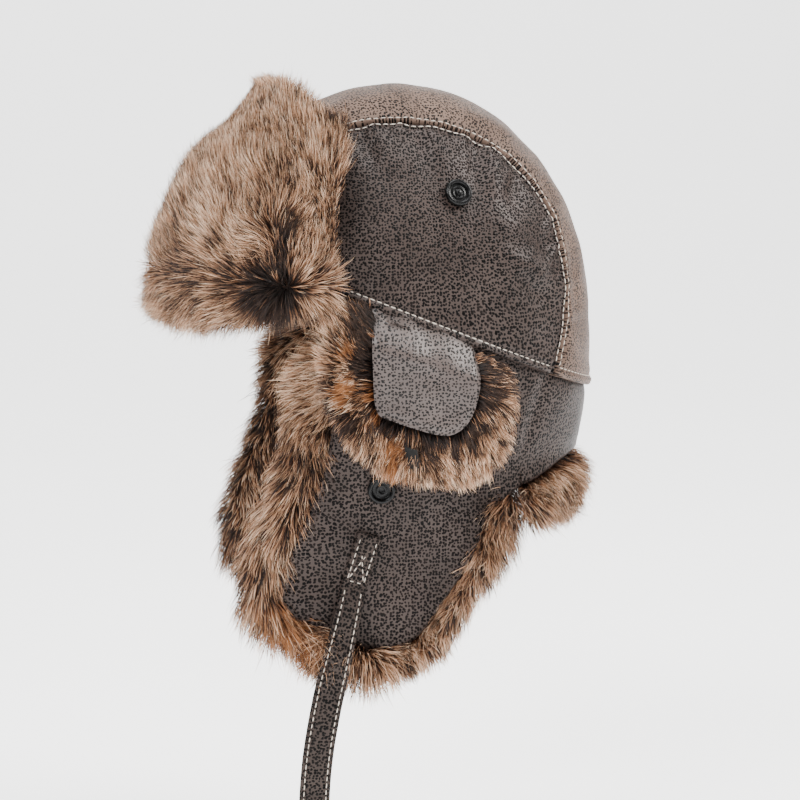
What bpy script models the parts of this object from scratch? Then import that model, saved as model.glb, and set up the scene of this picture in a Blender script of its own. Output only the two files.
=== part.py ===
"""Trapper hat, modelled as separate sewn pieces.

Frame: +Z up, the wearer faces -Y, the wearer's left is +X.
Origin: centre of the head opening, 7 mm above the hem beside the ears.
All lengths below are millimetres; meshes are written in metres.
"""
import math
import bpy
import bmesh
import numpy as np
from mathutils import Vector, Matrix

# ---------------------------------------------------------------- dimensions
HALF_LENGTH = 112.0      # crown, centre to forehead / centre to nape
HALF_WIDTH = 89.5        # crown, centre to ear
EQUATOR_Z = -24.0        # below this height the crown wall is upright
DOME_HEIGHT = 141.0      # equator to crown top
PLAN_EXP = 2.1           # superellipse exponent of the plan
DOME_EXP = 2.1           # superellipse exponent of the profile

LEATHER = 1.4            # outer fabric with its backing
GAP = 0.7                # clearance between touching layers
CROWN_GAP = 1.3          # clearance between the domed layers
PADDING = 3.5            # crown wadding
LINING = 1.0             # quilted lining
BAND = 1.3               # sweatband thickness
BAND_HEIGHT = 28.0

HEM_SLOPE = 0.39         # hem falls towards the nape
HEM_Z0 = -7.2            # hem height beside the ears
HEM_BREAK_Y = -30.0      # in front of this the hem levels off
HEM_LEVEL_RUN = 60.0

# half width of the centre panel against the angle along its arc, in degrees,
# 0 = level forwards, 90 = top, 180 = level backwards
SEAM_ANGLE = (0.0, 35.0, 75.0, 90.0, 102.0, 114.0, 126.0, 143.0, 156.0, 176.0, 190.0)
SEAM_HALF = (47.0, 44.0, 45.5, 48.0, 48.8, 48.3, 47.5, 49.5, 54.8, 62.0, 66.5)
SEAM_GAP = 0.5

SKIRT_INSET = 1.6        # the ear flaps and nape start just inside the hem
SKIRT_TAPER = 3.0
FLAP_PADDING = 2.0
FUR_BACK = 13.0          # fur pile thickness inside the flaps
HOLE_C = (2.0, -45.0)    # ear hole centre, y and z
HOLE_R = (17.0, 21.0)    # ear hole half axes, y and z

# ear flap leather outline, y and z, clockwise from the front top corner
FLAP_FRONT = ((-42.0, None), (-40.5, -12.0), (-42.5, -42.0), (-47.0, -73.0), (-57.0, -104.0),
              (-68.5, -131.5), (-76.0, -151.0))
FLAP_BOTTOM = ((-72.0, -161.0), (-61.0, -169.5), (-45.0, -177.5), (-25.0, -182.5), (-9.0, -182.5),
               (4.0, -174.0), (13.0, -161.0), (30.0, -136.5), (45.0, -110.5))
CUT_TOP = (50.0, None)   # rear edge of the ear flap at the hem
CUT_LOW = (60.0, -98.0)  # rear edge of the ear flap at the lower edge
NAPE_LOW = -88.0         # lower edge of the nape at the centre back
FREE_POINTS = 26         # corners of the ear flap's free edge

SNAP_R = 7.4
SNAP_HOLE = 2.3
CROWN_SNAP = (23.7, 60.3)    # y, z
FLAP_SNAP = (-19.4, -95.5)   # y, z

STRAP_WIDTH = 16.5
STRAP_BOX_WIDTH = 13.6
STRAP_FRONT = 1.3
STRAP_BACK = 0.8
STRAP_GAP = 0.3
STRAP_LONG = 176.0       # left strap below its sewn box
STRAP_SHORT = 76.0       # right strap below its sewn box

EAR_HINGE = (96.0, 0.0, -8.2)    # point on the left ear flap's fold line
VISOR_HINGE = (0.0, -114.0, 5.0)

for ob in list(bpy.data.objects):
    bpy.data.objects.remove(ob, do_unlink=True)

# ---------------------------------------------------------------- materials
PALETTE = {
    "leather": ((0.115, 0.095, 0.085), 0.50, 0.0),
    "padding": ((0.55, 0.52, 0.48), 0.95, 0.0),
    "lining": ((0.035, 0.032, 0.032), 0.55, 0.0),
    "band": ((0.05, 0.045, 0.042), 0.80, 0.0),
    "fur": ((0.19, 0.115, 0.075), 0.85, 0.0),
    "snap": ((0.012, 0.012, 0.013), 0.28, 0.6),
    "strap": ((0.045, 0.040, 0.038), 0.45, 0.0),
    "tab": ((0.015, 0.015, 0.015), 0.70, 0.0),
    "stiffener": ((0.40, 0.38, 0.35), 0.90, 0.0),
}


def material(name, kind):
    colour, rough, metal = PALETTE[kind]
    mat = bpy.data.materials.new(name + "_mat")
    mat.use_nodes = True
    bsdf = mat.node_tree.nodes["Principled BSDF"]
    bsdf.inputs["Base Color"].default_value = (*colour, 1.0)
    bsdf.inputs["Roughness"].default_value = rough
    bsdf.inputs["Metallic"].default_value = metal
    return mat


# ---------------------------------------------------------------- mesh tools
def make(name, verts, faces, kind, mirror=False, smooth=40.0):
    """One closed body from points in millimetres."""
    v = np.array(verts, float) * 0.001
    if mirror:
        v[:, 0] *= -1.0
    bm = bmesh.new()
    bv = [bm.verts.new(p) for p in v]
    for f in faces:
        idx = []
        for i in f:
            if not idx or i != idx[-1]:
                idx.append(i)
        if len(set(idx)) >= 3:
            bm.faces.new([bv[i] for i in idx])
    bmesh.ops.remove_doubles(bm, verts=bm.verts, dist=2e-6)
    bmesh.ops.triangulate(bm, faces=[f for f in bm.faces if len(f.verts) > 4])
    bmesh.ops.recalc_face_normals(bm, faces=bm.faces)
    if bm.calc_volume(signed=True) < 0:
        bmesh.ops.reverse_faces(bm, faces=bm.faces)
    me = bpy.data.meshes.new(name)
    bm.to_mesh(me)
    bm.free()
    me.shade_smooth()
    me.set_sharp_from_angle(angle=math.radians(smooth))
    ob = bpy.data.objects.new(name, me)
    bpy.context.scene.collection.objects.link(ob)
    me.materials.append(material(name, kind))
    return ob


def slab(outer, inner):
    """Closed plate between two (m, n, 3) grids of matching points."""
    m, n = outer.shape[:2]
    verts = np.concatenate([outer.reshape(-1, 3), inner.reshape(-1, 3)])
    k = m * n
    faces = []
    for i in range(m - 1):
        for j in range(n - 1):
            a, b, c, d = i * n + j, (i + 1) * n + j, (i + 1) * n + j + 1, i * n + j + 1
            faces.append((a, b, c, d))
            faces.append((k + d, k + c, k + b, k + a))
    edge = [i * n for i in range(m)] + [(m - 1) * n + j for j in range(1, n)]
    edge += [i * n + n - 1 for i in range(m - 2, -1, -1)] + [j for j in range(n - 2, 0, -1)]
    for q in range(len(edge)):
        a, b = edge[q], edge[(q + 1) % len(edge)]
        faces.append((b, a, k + a, k + b))
    return verts, faces


def tube(rings, wrap=False):
    """Loft closed loops of equal count; wrap joins the last loop to the first,
    otherwise both ends are capped."""
    rings = [np.asarray(r, float) for r in rings]
    n = len(rings[0])
    verts = list(np.concatenate(rings))
    faces = []
    m = len(rings)
    for i in range(m if wrap else m - 1):
        a0, b0 = i * n, ((i + 1) % m) * n
        for j in range(n):
            jj = (j + 1) % n
            faces.append((a0 + j, a0 + jj, b0 + jj, b0 + j))
    if not wrap:
        faces.append(tuple(range(n))[::-1])
        faces.append(tuple((m - 1) * n + j for j in range(n)))
    return np.array(verts), faces


def smoothstep(t):
    t = np.clip(t, 0.0, 1.0)
    return t * t * (3.0 - 2.0 * t)


def curve_through(xs, ys, x):
    """Smooth cubic through table points (finite-difference tangents)."""
    xs, ys = np.array(xs, float), np.array(ys, float)
    m = np.gradient(ys, xs)
    x = np.clip(np.asarray(x, float), xs[0], xs[-1])
    i = np.clip(np.searchsorted(xs, x) - 1, 0, len(xs) - 2)
    h = xs[i + 1] - xs[i]
    t = (x - xs[i]) / h
    return ((2 * t ** 3 - 3 * t ** 2 + 1) * ys[i] + (t ** 3 - 2 * t ** 2 + t) * h * m[i]
            + (-2 * t ** 3 + 3 * t ** 2) * ys[i + 1] + (t ** 3 - t ** 2) * h * m[i + 1])


# ---------------------------------------------------------------- crown shape
def level(p):
    """Implicit crown surface, 0 on the outer face, for (..., 3) points."""
    x, y, z = np.abs(p[..., 0]), np.abs(p[..., 1]), p[..., 2]
    r = ((x / HALF_WIDTH) ** PLAN_EXP + (y / HALF_LENGTH) ** PLAN_EXP + 1e-12) ** (1 / PLAN_EXP)
    h = np.maximum(0.0, (z - EQUATOR_Z) / DOME_HEIGHT)
    return r ** DOME_EXP + h ** DOME_EXP - 1.0


def outward(p):
    g = np.zeros_like(p)
    for k in range(3):
        e = np.zeros(3)
        e[k] = 0.05
        g[..., k] = level(p + e) - level(p - e)
    return g / np.linalg.norm(g, axis=-1, keepdims=True)


def shoot(origin, direction):
    """Where rays leave the crown's outer surface."""
    origin, direction = np.broadcast_arrays(np.asarray(origin, float), np.asarray(direction, float))
    lo = np.zeros(direction.shape[:-1])
    hi = np.full(direction.shape[:-1], 260.0)
    for _ in range(44):
        mid = 0.5 * (lo + hi)
        inside = level(origin + mid[..., None] * direction) < 0
        lo, hi = np.where(inside, mid, lo), np.where(inside, hi, mid)
    return origin + (0.5 * (lo + hi))[..., None] * direction


def hem_z(y):
    u = np.clip(HEM_BREAK_Y - np.asarray(y, float), 0.0, HEM_LEVEL_RUN)
    base = HEM_Z0 - HEM_SLOPE * np.maximum(np.asarray(y, float), HEM_BREAK_Y)
    return base + HEM_SLOPE * (u - u * u / (2 * HEM_LEVEL_RUN))


def hem_point(theta):
    """Hem on the crown's outer surface; theta 0 = left ear, 90 deg = nape."""
    c, s = np.cos(theta), np.sin(theta)
    x = HALF_WIDTH * np.sign(c) * np.abs(c) ** (2 / PLAN_EXP)
    y = HALF_LENGTH * np.sign(s) * np.abs(s) ** (2 / PLAN_EXP)
    k = np.ones_like(x)
    for _ in range(6):
        z = hem_z(y * k)
        h = np.maximum(0.0, (z - EQUATOR_Z) / DOME_HEIGHT)
        k = (1 - h ** DOME_EXP) ** (1 / DOME_EXP)
    return np.stack([x * k, y * k, hem_z(y * k)], -1)


def arc_point(angle, x):
    """Crown point at width x on the arc angle (radians) of the centre panel."""
    angle, x = np.broadcast_arrays(np.asarray(angle, float), np.asarray(x, float))
    o = np.stack([x, np.zeros_like(x), np.full_like(x, EQUATOR_Z)], -1)
    d = np.stack([np.zeros_like(x), -np.cos(angle), np.sin(angle)], -1)
    return shoot(o, d)


def arc_end(x, lo, hi):
    """Arc angle at which the crown at width x meets the hem."""
    x = np.asarray(x, float)
    lo, hi = np.full(x.shape, math.radians(lo)), np.full(x.shape, math.radians(hi))
    for _ in range(40):
        mid = 0.5 * (lo + hi)
        p = arc_point(mid, x)
        above = p[..., 2] > hem_z(p[..., 1])
        lo, hi = np.where(above, lo, mid), np.where(above, mid, hi)
    return 0.5 * (lo + hi)


def seam_half(angle):
    return curve_through(SEAM_ANGLE, SEAM_HALF, np.degrees(angle))


FRONT_ANGLE = float(arc_end(np.array([SEAM_HALF[0]]), -40.0, 80.0)[0])
BACK_ANGLE = math.pi - float(arc_end(np.array([SEAM_HALF[-1]]), -40.0, 80.0)[0])


def find_back_angle(x):
    lo, hi = math.radians(100.0), math.radians(215.0)
    for _ in range(40):
        mid = 0.5 * (lo + hi)
        p = arc_point(mid, x)
        if p[2] > hem_z(p[1]):
            lo = mid
        else:
            hi = mid
    return 0.5 * (lo + hi)


def center_panel_grid(m=22, n=8):
    ang0 = arc_end(np.linspace(-1, 1, n) * SEAM_HALF[0], -40.0, 80.0)
    ang1 = np.array([find_back_angle(v * SEAM_HALF[-1]) for v in np.linspace(-1, 1, n)])
    grid = np.zeros((m, n, 3))
    for i in range(m):
        s = i / (m - 1)
        for j in range(n):
            v = -1 + 2 * j / (n - 1)
            a = ang0[j] + (ang1[j] - ang0[j]) * s
            w = float(seam_half(a)) - SEAM_GAP / 2
            grid[i, j] = arc_point(a, v * w)
    return grid


def side_panel_grid(m=22, n=7):
    """Left side panel, from the seam (j = 0) down to the hem (j = n - 1)."""
    w0, w1 = SEAM_HALF[0] + SEAM_GAP / 2, SEAM_HALF[-1] + SEAM_GAP / 2
    a0 = float(arc_end(np.array([w0]), -40.0, 80.0)[0])
    a1 = find_back_angle(w1)
    thetas = np.radians(np.linspace(-89.5, 89.5, 1400))
    hp = hem_point(thetas)
    t0 = float(np.interp(w0, hp[:700, 0], thetas[:700]))
    t1 = float(np.interp(-w1, -hp[700:, 0], thetas[700:]))
    o = np.array([0.0, 0.0, EQUATOR_Z])
    grid = np.zeros((m, n, 3))
    for i in range(m):
        s = i / (m - 1)
        a = a0 + (a1 - a0) * s
        top = arc_point(a, float(seam_half(a)) + SEAM_GAP / 2)
        low = hem_point(np.array(t0 + (t1 - t0) * s))
        d0, d1 = (top - o) / np.linalg.norm(top - o), (low - o) / np.linalg.norm(low - o)
        for j in range(n):
            v = j / (n - 1)
            d = (1 - v) * d0 + v * d1
            d /= np.linalg.norm(d)
            p = shoot(o, d)
            grid[i, j] = top if j == 0 else (low if j == n - 1 else p)
    return grid


def crown_shell(depth_out, depth_in, lift, m=6, n=28):
    """Closed dome layer between two depths, its edge lifted above the hem."""
    th = np.linspace(0, 2 * math.pi, n, endpoint=False)
    hp = hem_point(th)
    hp[:, 2] += lift
    o = np.array([0.0, 0.0, EQUATOR_Z])
    d = hp - o
    plan = np.hypot(d[:, 0], d[:, 1])
    psi0 = np.arctan2(d[:, 2], plan)
    rings_out, rings_in = [], []
    for i in range(m):
        psi = psi0 + (math.pi / 2 - psi0) * (i / m)
        dirs = np.stack([np.cos(psi) * d[:, 0] / plan, np.cos(psi) * d[:, 1] / plan, np.sin(psi)], -1)
        p = shoot(o, dirs)
        nn = outward(p)
        rings_out.append(p - depth_out * nn)
        rings_in.append(p - depth_in * nn)
    top = o + np.array([0, 0, DOME_HEIGHT])
    verts = list(np.concatenate(rings_out + rings_in))
    faces = []
    for block, flip in ((0, False), (m * n, True)):
        for i in range(m - 1):
            for j in range(n):
                jj = (j + 1) % n
                f = (block + i * n + j, block + i * n + jj, block + (i + 1) * n + jj, block + (i + 1) * n + j)
                faces.append(f[::-1] if flip else f)
        c = len(verts)
        verts.append(top - np.array([0, 0, depth_in if flip else depth_out]))
        for j in range(n):
            jj = (j + 1) % n
            f = (block + (m - 1) * n + j, block + (m - 1) * n + jj, c)
            faces.append(f[::-1] if flip else f)
    for j in range(n):
        jj = (j + 1) % n
        faces.append((jj, j, m * n + j, m * n + jj))
    return np.array(verts), faces


def band_shell(depth_out, depth_in, lift, height, n=28):
    th = np.linspace(0, 2 * math.pi, n, endpoint=False)
    hp = hem_point(th)
    o = np.array([0.0, 0.0, EQUATOR_Z])
    rings = []
    for dz, depth in ((lift, depth_out), (lift + height, depth_out), (lift + height, depth_in), (lift, depth_in)):
        p = hp.copy()
        p[:, 2] += dz
        d = p - o
        p = shoot(o, d / np.linalg.norm(d, axis=-1, keepdims=True))
        rings.append(p - depth * outward(p))
    return tube(rings, wrap=True)


# ---------------------------------------------------------------- skirt shape
def plan_x(y, half_x, half_y):
    return half_x * np.maximum(0.0, 1 - (np.abs(y) / half_y) ** PLAN_EXP) ** (1 / PLAN_EXP)


def skirt_axes(y, z):
    depth = np.maximum(0.0, hem_z(y) - z)
    half_x = HALF_WIDTH - SKIRT_INSET - SKIRT_TAPER * np.clip(depth / 150, 0, 1.3)
    half_y = np.where(y > 0, HALF_LENGTH - SKIRT_INSET - 11.0 * smoothstep(depth / 70),
                      HALF_LENGTH - SKIRT_INSET)
    return half_x, half_y, depth


def skirt_x(y, z):
    """Outer face of the left ear flap, as x over the side view."""
    y, z = np.asarray(y, float), np.asarray(z, float)
    hx, hy, depth = skirt_axes(y, z)
    round_x = plan_x(y, hx, hy)
    flat_x = 84.5 - 0.0011 * (y + 8.0) ** 2
    f = smoothstep(depth / 110) * (1 - smoothstep((y - 8.0) / 48.0))
    return round_x * (1 - f) + flat_x * f


def cut_y(z):
    """Side view of the plane between ear flap and nape."""
    t = (hem_z(CUT_TOP[0]) - z) / (hem_z(CUT_TOP[0]) - CUT_LOW[1])
    return CUT_TOP[0] + (CUT_LOW[0] - CUT_TOP[0]) * t


def catmull(points, count):
    """Evenly spaced points on a smooth open curve."""
    p = np.array(points, float)
    p = np.vstack([2 * p[0] - p[1], p, 2 * p[-1] - p[-2]])
    out = []
    for i in range(1, len(p) - 2):
        for t in np.linspace(0, 1, 16, endpoint=False):
            a, b, c, d = p[i - 1], p[i], p[i + 1], p[i + 2]
            out.append(0.5 * (2 * b + (c - a) * t + (2 * a - 5 * b + 4 * c - d) * t ** 2
                              + (3 * b - a - 3 * c + d) * t ** 3))
    out.append(p[-2])
    out = np.array(out)
    s = np.concatenate([[0], np.cumsum(np.linalg.norm(np.diff(out, axis=0), axis=1))])
    u = np.linspace(0, s[-1], count)
    return np.stack([np.interp(u, s, out[:, k]) for k in range(out.shape[1])], -1)


def flap_outline(top_drop, cut_gap):
    """Ear flap outline in (y, z): front edge, bottom, rear cut, top edge.
    Returns points, and how much fur border each may carry (0 to 1)."""
    front = [(y, z if z is not None else float(hem_z(y)) - top_drop) for y, z in FLAP_FRONT]
    zc = float(hem_z(CUT_TOP[0])) - top_drop
    free = catmull(front + list(FLAP_BOTTOM) + [CUT_LOW], FREE_POINTS)
    ztop = np.linspace(CUT_LOW[1], zc, 4)[1:]
    rear = np.stack([cut_y(ztop), ztop], -1)
    ytop = np.linspace(CUT_TOP[0], front[0][0], 7)[1:-1]
    top = np.stack([ytop, hem_z(ytop) - top_drop], -1)
    pts = np.vstack([free, rear, top])
    border = np.concatenate([np.ones(len(free)), np.zeros(len(rear) + len(top))])
    pts[FREE_POINTS - 1:FREE_POINTS + 3, 0] -= cut_gap
    return pts, border


def outline_normals(pts):
    d = np.roll(pts, -1, axis=0) - np.roll(pts, 1, axis=0)
    nrm = np.stack([d[:, 1], -d[:, 0]], -1)
    nrm /= np.linalg.norm(nrm, axis=1, keepdims=True)
    c = pts.mean(axis=0)
    if np.mean(np.sum(nrm * (pts - c), axis=1)) < 0:
        nrm = -nrm
    return nrm


def on_skirt(yz, off):
    return np.stack([skirt_x(yz[:, 0], yz[:, 1]) + off, yz[:, 0], yz[:, 1]], -1)


def hole_ring(pts):
    d = pts - np.array(HOLE_C)
    ang = np.arctan2(d[:, 1] / HOLE_R[1], d[:, 0] / HOLE_R[0])
    return np.array(HOLE_C) + np.stack([HOLE_R[0] * np.cos(ang), HOLE_R[1] * np.sin(ang)], -1)


def flap_plate(off_out, off_in, top_drop, cut_gap, inset):
    """Plate following the ear flap with the ear hole through it."""
    pts, _ = flap_outline(top_drop, cut_gap)
    pts = pts - inset * outline_normals(pts)
    hole = hole_ring(pts)
    steps = (0.0, 0.36, 0.7, 1.0)
    rings = [on_skirt(hole + (pts - hole) * s, off_out) for s in steps]
    rings += [on_skirt(hole + (pts - hole) * s, off_in) for s in steps[::-1]]
    return tube(rings, wrap=True)


def border_width(pts):
    """Fur border beyond the leather: a wide roll in front, narrower below."""
    y, z = pts[:, 0], pts[:, 1]
    front = smoothstep((-30.0 - y) / 16.0) * smoothstep((hem_z(y) - z - 26.0) / 26.0)
    low = smoothstep((-140.0 - z) / 30.0)
    w = 24.0 * front * (1 - 0.55 * low) + 16.0 * (1 - front) * smoothstep((y + 60.0) / 24.0) + 3.0 * low
    return np.clip(w, 0.0, 26.0)


def flap_fur_rings(top_drop, cut_gap):
    pts, border = flap_outline(top_drop, cut_gap)
    nrm = outline_normals(pts)
    # leave the corners by the hem and by the rear cut narrow
    n_free = FREE_POINTS
    q = border.copy()
    k = np.arange(len(pts))
    q[:n_free] *= smoothstep((hem_z(pts[:n_free, 0]) - pts[:n_free, 1] - 20.0) / 22.0)
    q[:n_free] *= smoothstep((n_free - 1 - k[:n_free]) / 2.0)
    w = border_width(pts) * q
    q = smoothstep(w / 8.0)
    hole = hole_ring(pts)
    base_o, base_i = -4.9, -4.9 - FUR_BACK
    rings = []
    inner_pts = pts - 1.6 * nrm
    for s in (0.0, 0.36, 0.7):
        rings.append(on_skirt(hole + (inner_pts - hole) * s, base_o))
    rings.append(on_skirt(inner_pts, base_o))
    collapsed = [-5.5, -6.6, -8.2, -10.2, -12.4, -14.4, -16.2]
    reach = [0.6, 0.32, 0.74, 1.0, 0.92, 0.5, 0.0]
    height = [1.2, 4.6, 2.6, -5.0, -13.0, -19.0, -18.8]
    rise_q = smoothstep((q - 0.86) / 0.14)
    # the roll stays low where the ear-hole cover lies over it
    proud = smoothstep((-66.0 - pts[:, 1]) / 24.0)
    for k in range(7):
        e = (w * reach[k]) if k > 0 else np.full(len(w), 0.6)
        tall = proud * height[k] + (1 - proud) * min(height[k], -3.9 + 0.5 * (k == 1)) if k < 3 else height[k]
        out = inner_pts + nrm * ((1.6 + e) * q)[:, None]
        off = (1 - rise_q) * collapsed[k] + rise_q * tall
        if k == 0:
            # step up close to the leather's edge without touching it
            low = inner_pts + nrm * (2.3 * q)[:, None]
            rings.append(np.stack([skirt_x(low[:, 0], low[:, 1]) - 5.0,
                                   low[:, 0], low[:, 1]], -1))
            out = inner_pts + nrm * (2.6 * q)[:, None]
        rings.append(np.stack([skirt_x(out[:, 0], out[:, 1]) + off, out[:, 0], out[:, 1]], -1))
    for s in (1.0, 0.6, 0.0):
        rings.append(on_skirt(hole + (inner_pts - hole) * s, base_i))
    return rings


# ---------------------------------------------------------------- small parts
def frame_at(origin, normal):
    n = Vector([float(c) for c in normal]).normalized()
    rot = n.to_track_quat("Z", "Y").to_matrix().to_4x4()
    return Matrix.Translation(Vector([float(c) for c in origin])) @ rot


def lathe(profile, origin, normal, seg=14):
    """Turned ring or disc: profile is a closed loop of (radius, height)."""
    mat = frame_at(origin, normal)
    rings = []
    for k in range(seg):
        a = 2 * math.pi * k / seg
        rings.append([tuple(mat @ Vector((r * math.cos(a), r * math.sin(a), h))) for r, h in profile])
    verts, faces = [], []
    n = len(profile)
    for ring in rings:
        verts.extend(ring)
    for k in range(seg):
        k2 = (k + 1) % seg
        for j in range(n):
            jj = (j + 1) % n
            on_axis = [profile[j][0] < 1e-9, profile[jj][0] < 1e-9]
            if all(on_axis):
                continue
            faces.append((k * n + j, k2 * n + j, k2 * n + jj, k * n + jj))
    return np.array(verts), faces


def snap_ring(h0=0.5):
    return [(2.2, h0), (SNAP_R, h0), (SNAP_R, h0 + 1.3), (SNAP_R - 0.8, h0 + 2.2), (SNAP_R - 1.8, h0 + 2.2),
            (SNAP_R - 2.2, h0 + 0.9), (2.2, h0 + 0.9)]


def snap_post(back=-2.6, flange=-1.85):
    return [(0.0, back), (5.4, back), (5.4, flange), (1.8, flange), (1.8, 1.7), (1.2, 2.1), (0.0, 2.2)]


def cutter(name, origin, normal, radius, low, high, seg=12):
    v, f = lathe([(0.0, low), (radius, low), (radius, high), (0.0, high)], origin, normal, seg)
    ob = make(name, v, f, "snap")
    ob.hide_render = True
    ob.display_type = "WIRE"
    return ob


def punch(target, tool):
    mod = target.modifiers.new("hole_" + tool.name, "BOOLEAN")
    mod.operation = "DIFFERENCE"
    mod.solver = "EXACT"
    mod.object = tool


def pivot(name, pos):
    e = bpy.data.objects.new(name, None)
    e.empty_display_size = 0.01
    e.location = [c * 0.001 for c in pos]
    bpy.context.scene.collection.objects.link(e)
    return e


def attach(children, parent):
    bpy.context.view_layer.update()
    for ch in children:
        ch.parent = parent
        ch.matrix_parent_inverse = parent.matrix_world.inverted()


# ================================================================ the crown
g = center_panel_grid()
crown_center = make("crown_center_panel", *slab(g, g - LEATHER * outward(g)), "leather")

g = side_panel_grid()
side_v, side_f = slab(g, g - LEATHER * outward(g))
side_left = make("crown_side_panel_left", side_v, side_f, "leather")
side_right = make("crown_side_panel_right", side_v, side_f, "leather", mirror=True)

D1 = LEATHER + CROWN_GAP
D2 = D1 + PADDING
D3 = D2 + CROWN_GAP
D4 = D3 + LINING
D5 = D4 + CROWN_GAP / 2
padding = make("crown_padding", *crown_shell(D1, D2, 2.5), "padding")
lining = make("crown_lining", *crown_shell(D3, D4, 1.2), "lining")
band = make("sweatband", *band_shell(D5, D5 + BAND, 1.2, BAND_HEIGHT), "band")

snap_yz = np.array([CROWN_SNAP])
# the snap's place on the crown: solve the width at its height
sx = HALF_WIDTH
for _ in range(60):
    p = np.array([sx, CROWN_SNAP[0], CROWN_SNAP[1]])
    sx -= 0.5 * float(level(p)) * HALF_WIDTH / DOME_EXP
snap_at = np.array([sx, CROWN_SNAP[0], CROWN_SNAP[1]])
snap_n = outward(snap_at)
for side, mirror, panel in (("left", False, side_left), ("right", True, side_right)):
    v, f = lathe(snap_ring(), snap_at, snap_n)
    make("crown_snap_stud_" + side, v, f, "snap", mirror=mirror)
    v, f = lathe(snap_post(-3.1, -2.3), snap_at, snap_n)
    make("crown_snap_post_" + side, v, f, "snap", mirror=mirror)
    s = -1.0 if mirror else 1.0
    at, nn = snap_at * (s, 1, 1), snap_n * (s, 1, 1)
    punch(panel, cutter("cut_snap_leather_" + side, at, nn, SNAP_HOLE, -4.0, 3.0))
    punch(padding, cutter("cut_snap_padding_" + side, at, nn, 6.1, -8.0, 1.5))

# ================================================================ the nape
def nape_low(y):
    return CUT_LOW[1] + (NAPE_LOW - CUT_LOW[1]) * float(smoothstep((y - CUT_LOW[0]) / 36.0))


def nape_point(s, frac, drop, off, top_drop, side_gap):
    """Point on the nape: s runs -1 (left cut) to 1 (right cut), frac from the
    hem to the leather's lower edge, drop below that, off outwards."""
    y = 80.0
    for _ in range(14):
        z_top = float(hem_z(y)) - top_drop
        z = z_top + (nape_low(y) - z_top) * frac - drop
        yc = cut_y(max(z, -112.0)) + side_gap
        hx, hy, _d = skirt_axes(np.array(y), np.array(z))
        hx, hy = float(hx), float(hy)
        a_cut = math.asin(min(1.0, (yc / hy) ** (PLAN_EXP / 2)))
        a = a_cut + (math.pi / 2 - a_cut) * (1 - abs(s))
        y = hy * math.sin(a) ** (2 / PLAN_EXP)
    hx, hy = hx + off, hy + off
    a_cut = math.asin(min(1.0, (yc / hy) ** (PLAN_EXP / 2)))
    a = a_cut + (math.pi / 2 - a_cut) * (1 - abs(s))
    y = hy * math.sin(a) ** (2 / PLAN_EXP)
    x = hx * max(0.0, math.cos(a)) ** (2 / PLAN_EXP) * (1 if s <= 0 else -1)
    return (x, y, z)


def nape_grid(off, m=15, n=5, side_gap=1.0, top_drop=1.2):
    return np.array([[nape_point(-1 + 2 * i / (m - 1), j / (n - 1), 0.0, off, top_drop, side_gap)
                      for j in range(n)] for i in range(m)])


make("nape_shell", *slab(nape_grid(0.0), nape_grid(-LEATHER)), "leather")
make("nape_padding", *slab(nape_grid(-LEATHER - GAP), nape_grid(-LEATHER - GAP - FLAP_PADDING)), "padding")

# nape fur section: fraction down the leather, drop below its edge, offset outwards
NAPE_FUR = ((0.0, 0.0, -4.95), (1 / 4, 0.0, -4.95), (2 / 4, 0.0, -4.95), (3 / 4, 0.0, -4.95), (1.0, 0.0, -4.95),
            (1.0, 1.6, -4.4),
            (1.0, 6.0, 2.0), (1.0, 14.0, 5.0), (1.0, 24.0, 5.0), (1.0, 31.0, -1.0), (1.0, 32.0, -9.0),
            (1.0, 26.0, -16.0), (1.0, 10.0, -18.5), (2 / 4, 0.0, -17.8), (0.0, 0.0, -17.8))


def nape_fur_rings(m=15):
    rings = []
    for i in range(m):
        s = -1 + 2 * i / (m - 1)
        short = 0.60 + 0.40 * (1 - abs(s) ** 3)
        rings.append([nape_point(s, f, d * short, o if o < 0 else o * short, 1.2, 1.2) for f, d, o in NAPE_FUR])
    return rings


make("nape_fur", *tube(nape_fur_rings()), "fur")

# ================================================================ the visor
def visor_axes(z):
    zz = max(z, 0.0) / 100.0
    return HALF_LENGTH + 1.0 - 36.5 * zz * zz, HALF_WIDTH + 2.0 - 25.0 * zz * zz


def visor_point(phi, z, e, edge_trim=0.0):
    a, b = visor_axes(z)
    a, b = a + e, b + e
    y_edge = 46.0 - 10.0 * (z - 10.0) / 100.0 + edge_trim
    beta = math.acos(min(1.0, max(0.0, y_edge / a)) ** (PLAN_EXP / 2)) * phi
    return (b * (1 if beta >= 0 else -1) * abs(math.sin(beta)) ** (2 / PLAN_EXP),
            -a * math.cos(beta) ** (2 / PLAN_EXP), z)


def visor_plate(e0, e1, z0, trim, m=19, n=5):
    out, inn = np.zeros((m, n, 3)), np.zeros((m, n, 3))
    for i in range(m):
        phi = -1 + 2 * i / (m - 1)
        for j in range(n):
            top = 111.0 - trim - 7.0 * phi * phi
            z = z0 + (top - z0) * j / (n - 1)
            out[i, j] = visor_point(phi, z, e1, trim)
            inn[i, j] = visor_point(phi, z, e0, trim)
    return slab(out, inn)


visor_shell = make("visor_shell", *visor_plate(0.0, LEATHER, 10.0, 0.0), "leather")
visor_stiff = make("visor_stiffener", *visor_plate(2.3, 3.4, 13.0, 2.5), "stiffener")


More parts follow.
